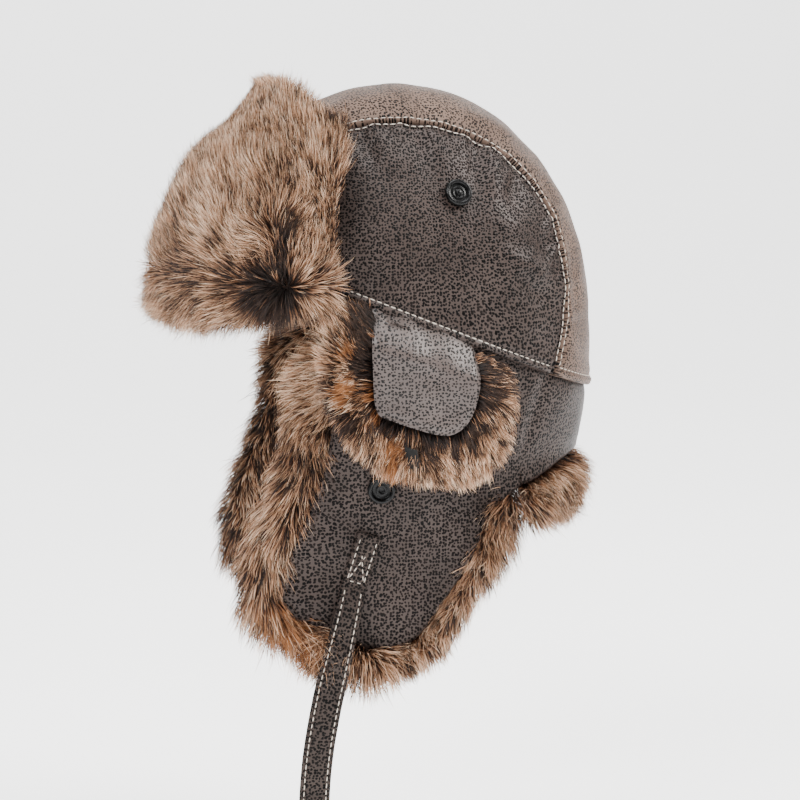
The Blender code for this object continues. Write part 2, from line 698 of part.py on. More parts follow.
def visor_fur_rings(m=19):
    rings = []
    for i in range(m):
        phi = -1 + 2 * i / (m - 1)
        end = abs(phi)
        round_off = math.sqrt(max(0.0, 1 - max(0.0, (end - 0.80) / 0.20) ** 2)) * 0.72 + 0.28
        top = 111.0 - 7.0 * phi * phi
        low = -6.0 + 8.0 * end ** 3
        k = (top - 16.0) / 95.0
        prof = []
        inner = [(13.0, 4.2), (36.0, 4.4), (62.0, 4.4), (86.0, 4.4), (top - 3.0, 4.2)]
        outer = [(top + 2.5, 4.6), (top + 5.0, 8.5), (top + 4.0, 13.0), (top - 2.0, 17.0),
                 (16 + 68 * k, 17.0), (16 + 44 * k, 17.0), (16 + 24 * k, 19.5), (26.0, 22.0), (13.0, 23.0),
                 (low + 4.5, 18.5), (low, 10.5), (low + 1.0, 3.5), (low + 7.0, 0.6)]
        for z, e in inner:
            prof.append(visor_point(phi, z, e))
        for z, e in outer:
            ee = 4.2 + (e - 4.2) * round_off if e > 4.2 else e
            prof.append(visor_point(phi, z, ee))
        rings.append(prof)
    return rings


visor_fur = make("visor_fur", *tube(visor_fur_rings()), "fur")
attach([visor_shell, visor_stiff, visor_fur], pivot("visor_pivot", VISOR_HINGE))

# ================================================================ ear flaps
def small_outline(shrink, top_y0=-40.0):
    """Outline of the ear-hole cover in (y, z), starting at its top front."""
    pts = [(-46.5, -6.0), (-49.5, -22.0), (-46.0, -44.0), (-36.5, -64.0), (-24.0, -78.5), (-6.0, -85.5),
           (14.0, -89.0), (30.0, -87.0), (42.0, -76.5), (48.5, -60.0), (49.5, -44.0), (47.0, -31.5)]
    free = catmull(pts, 21)
    ty = np.linspace(47.0, -46.5, 7)[1:-1]
    tz = np.where(ty > -34, hem_z(ty) - 5.0, np.interp(ty, [-46.5, -34.0], [-6.0, float(hem_z(-34.0)) - 5.0]))
    out = np.vstack([free, np.stack([ty, tz], -1)])
    if shrink:
        out = out - shrink * outline_normals(out)
    return out


PATCH = ((-24.5, None), (-24.0, -28.0), (-22.5, -50.5), (-14.0, -56.5), (8.0, -64.0), (18.0, -63.5), (25.5, -55.5),
         (29.5, -40.0), (30.5, None))


def patch_outline(grow):
    pts = [(y, z if z is not None else float(hem_z(y)) - 6.0) for y, z in PATCH]
    free = catmull(pts, 16)
    ty = np.linspace(30.5, -24.5, 6)[1:-1]
    out = np.vstack([free, np.stack([ty, hem_z(ty) - 6.0], -1)])
    return out + grow * outline_normals(out)


def rise(yz, full):
    """Height above the ear flap: thin at the hinge, full 18 mm below it."""
    d = hem_z(yz[:, 0]) - yz[:, 1]
    return 2.2 + (full - 2.2) * smoothstep((d - 4.0) / 17.0)


def pad(outline, rings_spec):
    """Closed pad: loops given by (scale to the centre, offset function)."""
    c = outline.mean(axis=0)
    rings = []
    for s, grow, fn in rings_spec:
        base = outline + grow * outline_normals(outline) if grow else outline
        p = c + (base - c) * s
        rings.append(np.stack([skirt_x(p[:, 0], p[:, 1]) + fn(p), p[:, 0], p[:, 1]], -1))
    return tube(rings)


for side, mirror in (("left", False), ("right", True)):
    s = -1.0 if mirror else 1.0
    shell = make("ear_shell_" + side, *flap_plate(0.0, -LEATHER, 1.2, 0.0, 0.0), "leather", mirror=mirror)
    pad_ob = make("ear_padding_" + side,
                  *flap_plate(-LEATHER - GAP, -LEATHER - GAP - FLAP_PADDING, 2.0, 0.0, 1.2), "padding",
                  mirror=mirror)
    fur = make("ear_fur_" + side, *tube(flap_fur_rings(2.2, 0.2), wrap=True), "fur", mirror=mirror)

    # snap on the flap, hidden half behind the leather
    y0, z0 = FLAP_SNAP
    x0 = float(skirt_x(y0, z0))
    e = 2.0
    ty = np.array([float(skirt_x(y0 + e, z0)) - float(skirt_x(y0 - e, z0)), 2 * e, 0])
    tz = np.array([float(skirt_x(y0, z0 + e)) - float(skirt_x(y0, z0 - e)), 0, 2 * e])
    nn = np.cross(ty, tz)
    nn /= np.linalg.norm(nn)
    at = np.array([x0, y0, z0])
    socket = make("ear_snap_socket_" + side, *lathe(snap_ring(), at, nn), "snap", mirror=mirror)
    post = make("ear_snap_post_" + side, *lathe(snap_post(-2.6, -1.8), at, nn), "snap", mirror=mirror)
    m3 = np.array([s, 1, 1])
    punch(shell, cutter("cut_ear_leather_" + side, at * m3, nn * m3, SNAP_HOLE, -3.0, 2.0))
    punch(pad_ob, cutter("cut_ear_padding_" + side, at * m3, nn * m3, 6.1, -7.0, 1.0))

    # sewn end of the chin strap
    STRAP_TOP, STRAP_HINGE_YZ = (-25.6, -119.5), (-34.4, -146.5)
    top, low = np.array(STRAP_TOP), np.array(STRAP_HINGE_YZ)
    dirn = (low - top) / np.linalg.norm(low - top)
    wide = np.array([-dirn[1], dirn[0]])
    out, inn = np.zeros((4, 3, 3)), np.zeros((4, 3, 3))
    for i in range(4):
        for j in range(3):
            c = top + (low - dirn * 0.8 - top) * i / 3
            p = c + wide * STRAP_BOX_WIDTH * (j / 2 - 0.5)
            bx = float(skirt_x(p[0], p[1]))
            out[i, j] = (bx + 0.55 + STRAP_FRONT + STRAP_GAP + STRAP_BACK, p[0], p[1])
            inn[i, j] = (bx + 0.55, p[0], p[1])
    anchor = make("chin_strap_sewn_end_" + side, *slab(out, inn), "strap", mirror=mirror)

    # free part of the strap: over the fur edge, then straight down
    length = STRAP_SHORT if mirror else STRAP_LONG
    centre = catmull([(low[0], low[1], 0.0), (-38.0, -160.5, 4.2), (-42.5, -176.0, 8.6), (-50.0, -206.0, 10.4),
                      (-55.0, -235.0, 9.0), (-57.2, -262.0, 7.0), (-57.6, -292.0, 5.0), (-57.6, -330.0, 3.0)], 400)
    base_x = float(skirt_x(low[0], low[1])) + 0.55
    path = np.stack([base_x + centre[:, 2], centre[:, 0], centre[:, 1]], -1)
    run = np.concatenate([[0], np.cumsum(np.linalg.norm(np.diff(path, axis=0), axis=1))])
    steps = np.linspace(1.2, length, 8 if mirror else 14)
    path = np.stack([np.interp(steps, run, path[:, k]) for k in range(3)], -1)
    tang = np.gradient(path, axis=0)
    tang /= np.linalg.norm(tang, axis=1, keepdims=True)
    wvec = np.stack([np.zeros(len(tang)), -tang[:, 2], tang[:, 1]], -1)
    wvec /= np.linalg.norm(wvec, axis=1, keepdims=True)
    nvec = np.cross(wvec, tang)
    nvec *= np.sign(nvec[:, :1])
    widths = STRAP_BOX_WIDTH + (STRAP_WIDTH - STRAP_BOX_WIDTH) * smoothstep(steps / 60.0)
    tipk = np.sqrt(np.clip(1 - ((steps - (length - 7.0)) / 7.6).clip(0, 1) ** 2, 0.04, 1))
    widths = widths * (0.45 + 0.55 * tipk)
    grids = []
    for off in (0.0, STRAP_BACK, STRAP_BACK + STRAP_GAP, STRAP_BACK + STRAP_GAP + STRAP_FRONT):
        grids.append(np.stack([path + wvec * (widths * (j / 2 - 0.5))[:, None] + nvec * off for j in range(3)], 1))
    backing = make("chin_strap_backing_" + side, *slab(grids[1], grids[0]), "strap", mirror=mirror)
    front = make("chin_strap_front_" + side, *slab(grids[3], grids[2]), "strap", mirror=mirror)
    k = int(np.searchsorted(steps, length - 14.0))
    k = min(k, len(steps) - 2)
    sat, snn = path[k], nvec[k]
    cap = [(0.0, 2.75), (6.0, 2.75), (6.0, 3.4), (4.6, 4.3), (0.0, 4.5)]
    sock = [(0.0, -1.8), (5.6, -1.8), (5.6, -0.35), (1.7, -0.35), (1.7, 2.45), (0.0, 2.45)]
    cap_ob = make("strap_snap_cap_" + side, *lathe(cap, sat, snn, 20), "snap", mirror=mirror)
    sock_ob = make("strap_snap_socket_" + side, *lathe(sock, sat, snn, 20), "snap", mirror=mirror)
    for ob, tag in ((backing, "backing"), (front, "front")):
        punch(ob, cutter("cut_strap_%s_%s" % (tag, side), sat * m3, snn * m3, 2.1, -4.0, 6.0, 16))

    # the ear-hole cover
    so, po = small_outline(0.0), patch_outline(0.0)
    fur_small = make("ear_cover_fur_" + side, *pad(so, [
        (0.35, 0.0, lambda p: rise(p, 2.2)), (0.80, 0.0, lambda p: rise(p, 2.2)),
        (1.0, -2.2, lambda p: rise(p, 2.4)), (1.0, -0.4, lambda p: rise(p, 4.2)),
        (1.0, 0.0, lambda p: rise(p, 7.4)), (1.0, -3.0, lambda p: rise(p, 10.8)),
        (1.0, -8.5, lambda p: rise(p, 11.6)), (1.0, -14.0, lambda p: rise(p, 8.6)),
        (0.60, 0.0, lambda p: rise(p, 6.6)), (0.3, 0.0, lambda p: rise(p, 6.6))]), "fur", mirror=mirror)
    lift = 2.6
    cover = make("ear_cover_shell_" + side, *pad(po, [
        (0.4, 0.0, lambda p: rise(p, 9.2) + lift), (0.8, 0.0, lambda p: rise(p, 9.2) + lift),
        (1.0, 0.0, lambda p: rise(p, 9.0) + lift), (1.0, 0.0, lambda p: rise(p, 9.0) + lift + 1.3),
        (0.8, 0.0, lambda p: rise(p, 9.4) + lift + 1.4), (0.4, 0.0, lambda p: rise(p, 9.4) + lift + 1.4)]),
        "leather", mirror=mirror)
    tab_yz = [(-8.5, -70.0), (-3.0, -71.5), (-1.0, -82.5), (-6.5, -83.5)]
    out, inn = np.zeros((4, 3, 3)), np.zeros((4, 3, 3))
    for i in range(4):
        for j in range(3):
            a = np.array(tab_yz[0]) + (np.array(tab_yz[3]) - np.array(tab_yz[0])) * i / 3
            b = np.array(tab_yz[1]) + (np.array(tab_yz[2]) - np.array(tab_yz[1])) * i / 3
            p = a + (b - a) * j / 2
            bx = float(skirt_x(p[0], p[1]))
            up = 13.0 - 1.5 * (i / 3)
            out[i, j] = (bx + up + 1.0, p[0], p[1])
            inn[i, j] = (bx + up, p[0], p[1])
    tab = make("ear_cover_tab_" + side, *slab(out, inn), "tab", mirror=mirror)

    ear = pivot("ear_pivot_" + side, (EAR_HINGE[0] * s, EAR_HINGE[1], EAR_HINGE[2]))
    cov = pivot("ear_cover_pivot_" + side, (s * 90.5, 0.0, -12.0))
    strap = pivot("strap_pivot_" + side, (s * (base_x + 1.2), low[0], low[1]))
    attach([shell, pad_ob, fur, socket, post, anchor], ear)
    attach([fur_small, cover, tab], cov)
    attach([backing, front, cap_ob, sock_ob], strap)
    attach([cov, strap], ear)
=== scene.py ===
import math

import bpy
import numpy as np
from mathutils import Matrix, Vector
from mathutils.bvhtree import BVHTree
from mathutils.kdtree import KDTree


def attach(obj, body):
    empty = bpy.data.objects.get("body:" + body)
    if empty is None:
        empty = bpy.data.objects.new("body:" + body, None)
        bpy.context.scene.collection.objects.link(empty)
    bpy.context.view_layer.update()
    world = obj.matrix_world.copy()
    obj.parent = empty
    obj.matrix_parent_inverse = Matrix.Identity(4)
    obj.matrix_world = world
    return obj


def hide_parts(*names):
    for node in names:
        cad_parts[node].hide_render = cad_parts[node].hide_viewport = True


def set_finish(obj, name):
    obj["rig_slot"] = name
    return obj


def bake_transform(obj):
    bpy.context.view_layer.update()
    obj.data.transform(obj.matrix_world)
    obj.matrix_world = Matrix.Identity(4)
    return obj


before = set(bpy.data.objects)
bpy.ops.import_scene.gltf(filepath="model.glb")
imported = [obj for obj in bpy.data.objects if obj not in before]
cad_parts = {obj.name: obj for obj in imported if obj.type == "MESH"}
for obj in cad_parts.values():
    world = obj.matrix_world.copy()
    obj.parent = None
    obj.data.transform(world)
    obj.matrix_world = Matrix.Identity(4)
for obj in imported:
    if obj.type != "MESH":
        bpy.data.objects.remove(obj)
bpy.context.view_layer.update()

# ------------------------------------------------------------------ dimensions
HALF_LENGTH, HALF_WIDTH, EQUATOR_Z, DOME_HEIGHT = 112.0, 89.5, -24.0, 141.0
PLAN_EXP = DOME_EXP = 2.1
LEATHER, CROWN_GAP, PADDING, LINING, BAND, BAND_HEIGHT = 1.4, 1.3, 3.5, 1.0, 1.3, 28.0
HEM_SLOPE, HEM_Z0, HEM_BREAK_Y, HEM_LEVEL_RUN = 0.39, -7.2, -30.0, 60.0
SEAM_ANGLE = (0.0, 35.0, 75.0, 90.0, 102.0, 114.0, 126.0, 143.0, 156.0, 176.0, 190.0)
SEAM_HALF = (47.0, 44.0, 45.5, 48.0, 48.8, 48.3, 47.5, 49.5, 54.8, 62.0, 66.5)
SKIRT_INSET, SKIRT_TAPER = 1.6, 3.0
HOLE_C, HOLE_R = (2.0, -45.0), (17.0, 21.0)
FLAP_FRONT = ((-42.0, None), (-40.5, -12.0), (-42.5, -42.0), (-47.0, -73.0), (-57.0, -104.0),
              (-68.5, -131.5), (-76.0, -151.0))
FLAP_BOTTOM = ((-72.0, -161.0), (-61.0, -169.5), (-45.0, -177.5), (-25.0, -182.5), (-9.0, -182.5),
               (4.0, -174.0), (13.0, -161.0), (30.0, -136.5), (45.0, -110.5))
CUT_TOP_Y, CUT_LOW, NAPE_LOW = 50.0, (60.0, -98.0), -88.0
CROWN_SNAP, FLAP_SNAP = (23.7, 60.3), (-19.4, -95.5)
STRAP_WIDTH, STRAP_BOX_WIDTH, STRAP_LONG, STRAP_SHORT = 16.5, 13.6, 176.0, 76.0
STRAP_TOP, STRAP_LOW = (-25.6, -119.5), (-34.4, -146.5)
VISOR_PINCH = (-68.0, 8.0)
PATCH = ((-24.5, None), (-24.0, -28.0), (-22.5, -50.5), (-14.0, -56.5), (8.0, -64.0), (18.0, -63.5), (25.5, -55.5),
         (29.5, -40.0), (30.5, None))
SIDES = (("left", 1.0), ("right", -1.0))


# ------------------------------------------------------------------ maths
def smoothstep(t):
    t = np.clip(t, 0.0, 1.0)
    return t * t * (3.0 - 2.0 * t)


def bump(d, c, w):
    return np.exp(-((d - c) / w) ** 2)


def unit(v):
    return v / np.maximum(np.linalg.norm(v, axis=-1, keepdims=True), 1e-9)


class Waves:
    """Smooth random field of about unit size, made of sine waves."""

    def __init__(self, seed, wavelength, n=16, stretch=(1, 1, 1)):
        rng = np.random.default_rng(seed)
        d = unit(rng.normal(size=(n, 3)))
        self.k = d * (2 * math.pi / wavelength) * rng.uniform(0.65, 1.5, (n, 1)) / np.array(stretch, float)
        self.p = rng.uniform(0, 2 * math.pi, n)

    def __call__(self, q):
        return np.sin(q @ self.k.T + self.p).sum(-1) / math.sqrt(len(self.p) / 2)


def curve_through(xs, ys, x):
    xs, ys = np.array(xs, float), np.array(ys, float)
    m = np.gradient(ys, xs)
    x = np.clip(np.asarray(x, float), xs[0], xs[-1])
    i = np.clip(np.searchsorted(xs, x) - 1, 0, len(xs) - 2)
    h = xs[i + 1] - xs[i]
    t = (x - xs[i]) / h
    return ((2 * t ** 3 - 3 * t ** 2 + 1) * ys[i] + (t ** 3 - 2 * t ** 2 + t) * h * m[i]
            + (-2 * t ** 3 + 3 * t ** 2) * ys[i + 1] + (t ** 3 - t ** 2) * h * m[i + 1])


def catmull(points, count):
    p = np.array(points, float)
    p = np.vstack([2 * p[0] - p[1], p, 2 * p[-1] - p[-2]])
    out = []
    for i in range(1, len(p) - 2):
        for t in np.linspace(0, 1, 16, endpoint=False):
            a, b, c, d = p[i - 1], p[i], p[i + 1], p[i + 2]
            out.append(0.5 * (2 * b + (c - a) * t + (2 * a - 5 * b + 4 * c - d) * t ** 2
                              + (3 * b - a - 3 * c + d) * t ** 3))
    out.append(p[-2])
    return resample(np.array(out), count)


def resample(pts, count, closed=False):
    if closed:
        pts = np.vstack([pts, pts[:1]])
    s = np.concatenate([[0], np.cumsum(np.linalg.norm(np.diff(pts, axis=0), axis=1))])
    u = np.linspace(0, s[-1], count, endpoint=not closed)
    return np.stack([np.interp(u, s, pts[:, k]) for k in range(pts.shape[1])], -1)


# ------------------------------------------------------------------ crown shape
def level(p):
    x, y, z = np.abs(p[..., 0]), np.abs(p[..., 1]), p[..., 2]
    r = ((x / HALF_WIDTH) ** PLAN_EXP + (y / HALF_LENGTH) ** PLAN_EXP + 1e-12) ** (1 / PLAN_EXP)
    h = np.maximum(0.0, (z - EQUATOR_Z) / DOME_HEIGHT)
    return r ** DOME_EXP + h ** DOME_EXP - 1.0


def outward(p):
    g = np.zeros_like(p)
    for k in range(3):
        e = np.zeros(3)
        e[k] = 0.05
        g[..., k] = level(p + e) - level(p - e)
    return unit(g)


def shoot(origin, direction):
    origin, direction = np.broadcast_arrays(np.asarray(origin, float), np.asarray(direction, float))
    lo = np.zeros(direction.shape[:-1])
    hi = np.full(direction.shape[:-1], 260.0)
    for _ in range(34):
        mid = 0.5 * (lo + hi)
        inside = level(origin + mid[..., None] * direction) < 0
        lo, hi = np.where(inside, mid, lo), np.where(inside, hi, mid)
    return origin + (0.5 * (lo + hi))[..., None] * direction


def hem_z(y):
    u = np.clip(HEM_BREAK_Y - np.asarray(y, float), 0.0, HEM_LEVEL_RUN)
    base = HEM_Z0 - HEM_SLOPE * np.maximum(np.asarray(y, float), HEM_BREAK_Y)
    return base + HEM_SLOPE * (u - u * u / (2 * HEM_LEVEL_RUN))


def hem_point(theta):
    theta = np.asarray(theta, float)
    c, s = np.cos(theta), np.sin(theta)
    x = HALF_WIDTH * np.sign(c) * np.abs(c) ** (2 / PLAN_EXP)
    y = HALF_LENGTH * np.sign(s) * np.abs(s) ** (2 / PLAN_EXP)
    k = np.ones_like(x)
    for _ in range(6):
        z = hem_z(y * k)
        h = np.maximum(0.0, (z - EQUATOR_Z) / DOME_HEIGHT)
        k = (1 - h ** DOME_EXP) ** (1 / DOME_EXP)
    return np.stack([x * k, y * k, hem_z(y * k)], -1)


def arc_point(angle, x):
    angle, x = np.broadcast_arrays(np.asarray(angle, float), np.asarray(x, float))
    o = np.stack([x, np.zeros_like(x), np.full_like(x, EQUATOR_Z)], -1)
    d = np.stack([np.zeros_like(x), -np.cos(angle), np.sin(angle)], -1)
    return shoot(o, d)


def arc_hem(x, lo, hi, front):
    x = np.asarray(x, float)
    lo, hi = np.full(x.shape, math.radians(lo)), np.full(x.shape, math.radians(hi))
    for _ in range(34):
        mid = 0.5 * (lo + hi)
        p = arc_point(mid, x)
        above = p[..., 2] > hem_z(p[..., 1])
        if front:
            lo, hi = np.where(above, lo, mid), np.where(above, mid, hi)
        else:
            lo, hi = np.where(above, mid, lo), np.where(above, hi, mid)
    return 0.5 * (lo + hi)


def seam_half(angle):
    return curve_through(SEAM_ANGLE, SEAM_HALF, np.degrees(angle))


# ------------------------------------------------------------------ skirt shape
def plan_x(y, half_x, half_y):
    return half_x * np.maximum(0.0, 1 - (np.abs(y) / half_y) ** PLAN_EXP) ** (1 / PLAN_EXP)


def skirt_axes(y, z):
    depth = np.maximum(0.0, hem_z(y) - z)
    half_x = HALF_WIDTH - SKIRT_INSET - SKIRT_TAPER * np.clip(depth / 150, 0, 1.3)
    half_y = np.where(y > 0, HALF_LENGTH - SKIRT_INSET - 11.0 * smoothstep(depth / 70),
                      HALF_LENGTH - SKIRT_INSET)
    return half_x, half_y, depth


def skirt_x(y, z):
    y, z = np.asarray(y, float), np.asarray(z, float)
    hx, hy, depth = skirt_axes(y, z)
    round_x = plan_x(y, hx, hy)
    flat_x = 84.5 - 0.0011 * (y + 8.0) ** 2
    f = smoothstep(depth / 110) * (1 - smoothstep((y - 8.0) / 48.0))
    return round_x * (1 - f) + flat_x * f


def skirt_normal(y, z):
    e = 0.6
    dy = (skirt_x(y + e, z) - skirt_x(y - e, z)) / (2 * e)
    dz = (skirt_x(y, z + e) - skirt_x(y, z - e)) / (2 * e)
    return unit(np.stack([np.ones_like(dy), -dy, -dz], -1))


def cut_y(z):
    zt = float(hem_z(CUT_TOP_Y))
    return CUT_TOP_Y + (CUT_LOW[0] - CUT_TOP_Y) * (zt - z) / (zt - CUT_LOW[1])


def outline_normals(pts):
    d = np.roll(pts, -1, axis=0) - np.roll(pts, 1, axis=0)
    nrm = unit(np.stack([d[:, 1], -d[:, 0]], -1))
    if np.mean(np.sum(nrm * (pts - pts.mean(axis=0)), axis=1)) < 0:
        nrm = -nrm
    return nrm


def nape_low(y):
    return CUT_LOW[1] + (NAPE_LOW - CUT_LOW[1]) * smoothstep((y - CUT_LOW[0]) / 36.0)


def nape_point(s, z_rule, off, side_gap=0.0):
    """Nape surface, vectorised. s from -1 (left cut) to 0 (centre back)."""
    s = np.asarray(s, float)
    y = np.full(s.shape, 80.0)
    for _ in range(16):
        z = z_rule(y)
        yc = cut_y(np.maximum(z, -112.0)) + side_gap
        hx, hy, _d = skirt_axes(y, z)
        a_cut = np.arcsin(np.minimum(1.0, (yc / hy) ** (PLAN_EXP / 2)))
        a = a_cut + (math.pi / 2 - a_cut) * (1 - np.abs(s))
        y = hy * np.sin(a) ** (2 / PLAN_EXP)
    hx, hy = hx + off, hy + off
    a_cut = np.arcsin(np.minimum(1.0, (yc / hy) ** (PLAN_EXP / 2)))
    a = a_cut + (math.pi / 2 - a_cut) * (1 - np.abs(s))
    y = hy * np.sin(a) ** (2 / PLAN_EXP)
    x = hx * np.maximum(0.0, np.cos(a)) ** (2 / PLAN_EXP)
    return np.stack([x, y, z], -1)


# ------------------------------------------------------------------ visor shape
def visor_corner(p):
    """The visor's upper rear corners slope down in a round."""
    q = np.array(p, float)
    drop = smoothstep((q[..., 1] + 69.0) / 30.0) * smoothstep((q[..., 2] - 58.0) / 46.0)
    lean = smoothstep((-66.0 - q[..., 1]) / 30.0) * smoothstep((q[..., 2] - 56.0) / 50.0)
    q[..., 2] -= 15.0 * drop
    q[..., 1] += 6.0 * lean
    return q


def visor_point(phi, z, e):
    phi, z, e = np.broadcast_arrays(*[np.asarray(q, float) for q in (phi, z, e)])
    zz = np.maximum(z, 0.0) / 100.0
    a, b = HALF_LENGTH + 1.0 - 36.5 * zz * zz + e, HALF_WIDTH + 2.0 - 25.0 * zz * zz + e
    y_edge = 46.0 - 10.0 * (z - 10.0) / 100.0
    beta = np.arccos(np.clip(y_edge / a, 0.0, 1.0) ** (PLAN_EXP / 2)) * phi
    return np.stack([b * np.sign(beta) * np.abs(np.sin(beta)) ** (2 / PLAN_EXP),
                     -a * np.cos(beta) ** (2 / PLAN_EXP), z], -1)


# ------------------------------------------------------------------ mesh tools
def build(name, verts, faces, mat, slot_name, uv=None, mirror=False, smooth=True, uv_name="pebble",
          sharp=None):
    """Mesh object from points in millimetres; faces is an (n, k) array or a list of such arrays."""
    v = np.array(verts, np.float64) * 0.001
    if not isinstance(faces, (list, tuple)) or (len(faces) and not isinstance(faces[0], np.ndarray)):
        faces = [np.array(faces, np.int32)]
    if mirror:
        v[:, 0] *= -1
        faces = [f[:, ::-1] for f in faces]
    loops = np.concatenate([f.ravel() for f in faces]).astype(np.int32)
    counts = np.concatenate([np.full(len(f), f.shape[1], np.int32) for f in faces])
    starts = np.concatenate([[0], np.cumsum(counts)[:-1]]).astype(np.int32)
    me = bpy.data.meshes.new(name)
    me.vertices.add(len(v))
    me.vertices.foreach_set("co", v.astype(np.float32).ravel())
    me.loops.add(len(loops))
    me.loops.foreach_set("vertex_index", loops)
    me.polygons.add(len(counts))
    me.polygons.foreach_set("loop_start", starts)
    me.polygons.foreach_set("loop_total", counts)
    me.update(calc_edges=True)
    if uv is not None:
        layer = me.uv_layers.new(name=uv_name)
        layer.data.foreach_set("uv", np.asarray(uv, np.float32)[loops].ravel())
    me.validate(clean_customdata=False)
    if smooth:
        me.shade_smooth()
        if sharp:
            me.set_sharp_from_angle(angle=math.radians(sharp))
    ob = bpy.data.objects.new(name, me)
    bpy.context.scene.collection.objects.link(ob)
    me.materials.append(mat)
    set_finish(ob, slot_name)
    return ob


def grid_faces(m, n, base=0, closed_i=False, flip=False):
    i = np.arange(m if closed_i else m - 1)[:, None]
    j = np.arange(n - 1)[None, :]
    i2 = (i + 1) % m
    f = np.stack([i * n + j, i2 * n + j, i2 * n + j + 1, i * n + j + 1], -1).reshape(-1, 4) + base
    return f[:, ::-1] if flip else f


def slab_faces(m, n, closed_i=False):
    """Two matching grids joined round their borders into one closed body."""
    k = m * n
    out = [grid_faces(m, n, 0, closed_i), grid_faces(m, n, k, closed_i, flip=True)]
    if closed_i:
        i = np.arange(m)
        i2 = (i + 1) % m
        for j, s in ((0, False), (n - 1, True)):
            f = np.stack([i2 * n + j, i * n + j, k + i * n + j, k + i2 * n + j], -1)
            out.append(f[:, ::-1] if s else f)
    else:
        e = [i * n for i in range(m)] + [(m - 1) * n + j for j in range(1, n)]
        e += [i * n + n - 1 for i in range(m - 2, -1, -1)] + [j for j in range(n - 2, 0, -1)]
        e = np.array(e)
        e2 = np.roll(e, -1)
        out.append(np.stack([e2, e, k + e, k + e2], -1))
    return [np.concatenate(out)]


def orient(verts, faces):
    """Flip all faces if the closed body's signed volume is negative."""
    v = np.asarray(verts)
    vol = 0.0
    for f in faces:
        for k in range(1, f.shape[1] - 1):
            vol += np.einsum("ij,ij->i", v[f[:, 0]], np.cross(v[f[:, k]], v[f[:, k + 1]])).sum()
    return faces if vol > 0 else [f[:, ::-1] for f in faces]


def lathe(profile, origin, normal, seg=40):
    """Turned body; the profile runs from axis to axis as (radius, height)."""
    n = Vector([float(c) for c in normal]).normalized()
    rot = np.array(n.to_track_quat("Z", "Y").to_matrix(), float)
    prof = np.array(profile, float)
    ang = np.linspace(0, 2 * math.pi, seg, endpoint=False)
    ring = np.stack([prof[None, :, 0] * np.cos(ang)[:, None], prof[None, :, 0] * np.sin(ang)[:, None],
                     np.broadcast_to(prof[None, :, 1], (seg, len(prof)))], -1)
    m = len(prof)
    v = ring.reshape(-1, 3) @ rot.T + np.array(origin, float)
    q = grid_faces(seg, m, 0, closed_i=True)
    on = prof[:, 0] < 1e-9
    j = q[:, 0] % m
    tri0 = on[j]
    tri1 = on[(j + 1) % m]
    quads = q[~tri0 & ~tri1]
    first = {}
    tris = []
    for a, b, c, d in q[tri0]:
        first.setdefault(int(a % m), int(a))
        tris.append((first[int(a % m)], c, d))
    for a, b, c, d in q[tri1 & ~tri0]:
        first.setdefault(int(d % m), int(d))
        tris.append((a, b, first[int(d % m)]))
    used = np.unique(np.concatenate([quads.ravel(), np.array(tris).ravel()]))
    remap = np.full(len(v), -1)
    remap[used] = np.arange(len(used))
    faces = [remap[quads], remap[np.array(tris)]]
    return v[used], orient(v[used], faces)


def weld(parts):
    """Several (verts, faces) bodies as one."""
    verts, quads, tris, n = [], [], [], 0
    for v, fs in parts:
        verts.append(v)
        for f in fs:
            (quads if f.shape[1] == 4 else tris).append(f + n)
        n += len(v)
    faces = []
    if quads:
        faces.append(np.concatenate(quads))
    if tris:
        faces.append(np.concatenate(tris))
    return np.concatenate(verts), faces


def stitches(paths, length=3.0, pitch=3.9, width=0.72, height=0.56, sink=0.12):
    """Thread stitches along paths of (points, normals), all millimetres."""
    t = np.array([0.0, 0.1, 0.3, 0.5, 0.7, 0.9, 1.0])
    r = np.array([0.22, 0.72, 0.97, 1.0, 0.97, 0.72, 0.22])
    lift = np.array([-0.30, 0.25, 0.72, 0.85, 0.72, 0.25, -0.30])
    ang = np.linspace(0, 2 * math.pi, 6, endpoint=False)
    parts = []
    for pts, nrm in paths:
        s = np.concatenate([[0], np.cumsum(np.linalg.norm(np.diff(pts, axis=0), axis=1))])
        count = max(1, int(s[-1] // pitch))
        start = (s[-1] - count * pitch) / 2 + (pitch - length) / 2
        u = start + pitch * np.arange(count)[:, None] + length * t[None, :]
        p = np.stack([np.interp(u, s, pts[:, k]) for k in range(3)], -1)
        nn = unit(np.stack([np.interp(u, s, nrm[:, k]) for k in range(3)], -1))
        tan = unit(np.gradient(p, axis=1))
        side = unit(np.cross(nn, tan))
        c = p + nn * (lift * height * 0.5 - sink)[None, :, None]
        ring = (c[:, :, None, :] + side[:, :, None, :] * (np.cos(ang) * width / 2)[None, None, :, None] * r[None, :, None, None]
                + nn[:, :, None, :] * (np.sin(ang) * height / 2)[None, None, :, None] * r[None, :, None, None])
        k, a = len(t), len(ang)
        v = ring.reshape(-1, 3)
        i = np.arange(k - 1)[:, None]
        j = np.arange(a)[None, :]
        q = np.stack([i * a + j, i * a + (j + 1) % a, (i + 1) * a + (j + 1) % a, (i + 1) * a + j], -1).reshape(-1, 4)
        caps = np.array([[0, 5, 4, 3], [0, 3, 2, 1]])
        caps = np.concatenate([caps, (caps + (k - 1) * a)[:, ::-1]])
        one = np.concatenate([q, caps])
        f = (one[None] + (np.arange(count) * k * a)[:, None, None]).reshape(-1, 4)
        parts.append((v, [f[:, ::-1]]))
    return weld(parts)


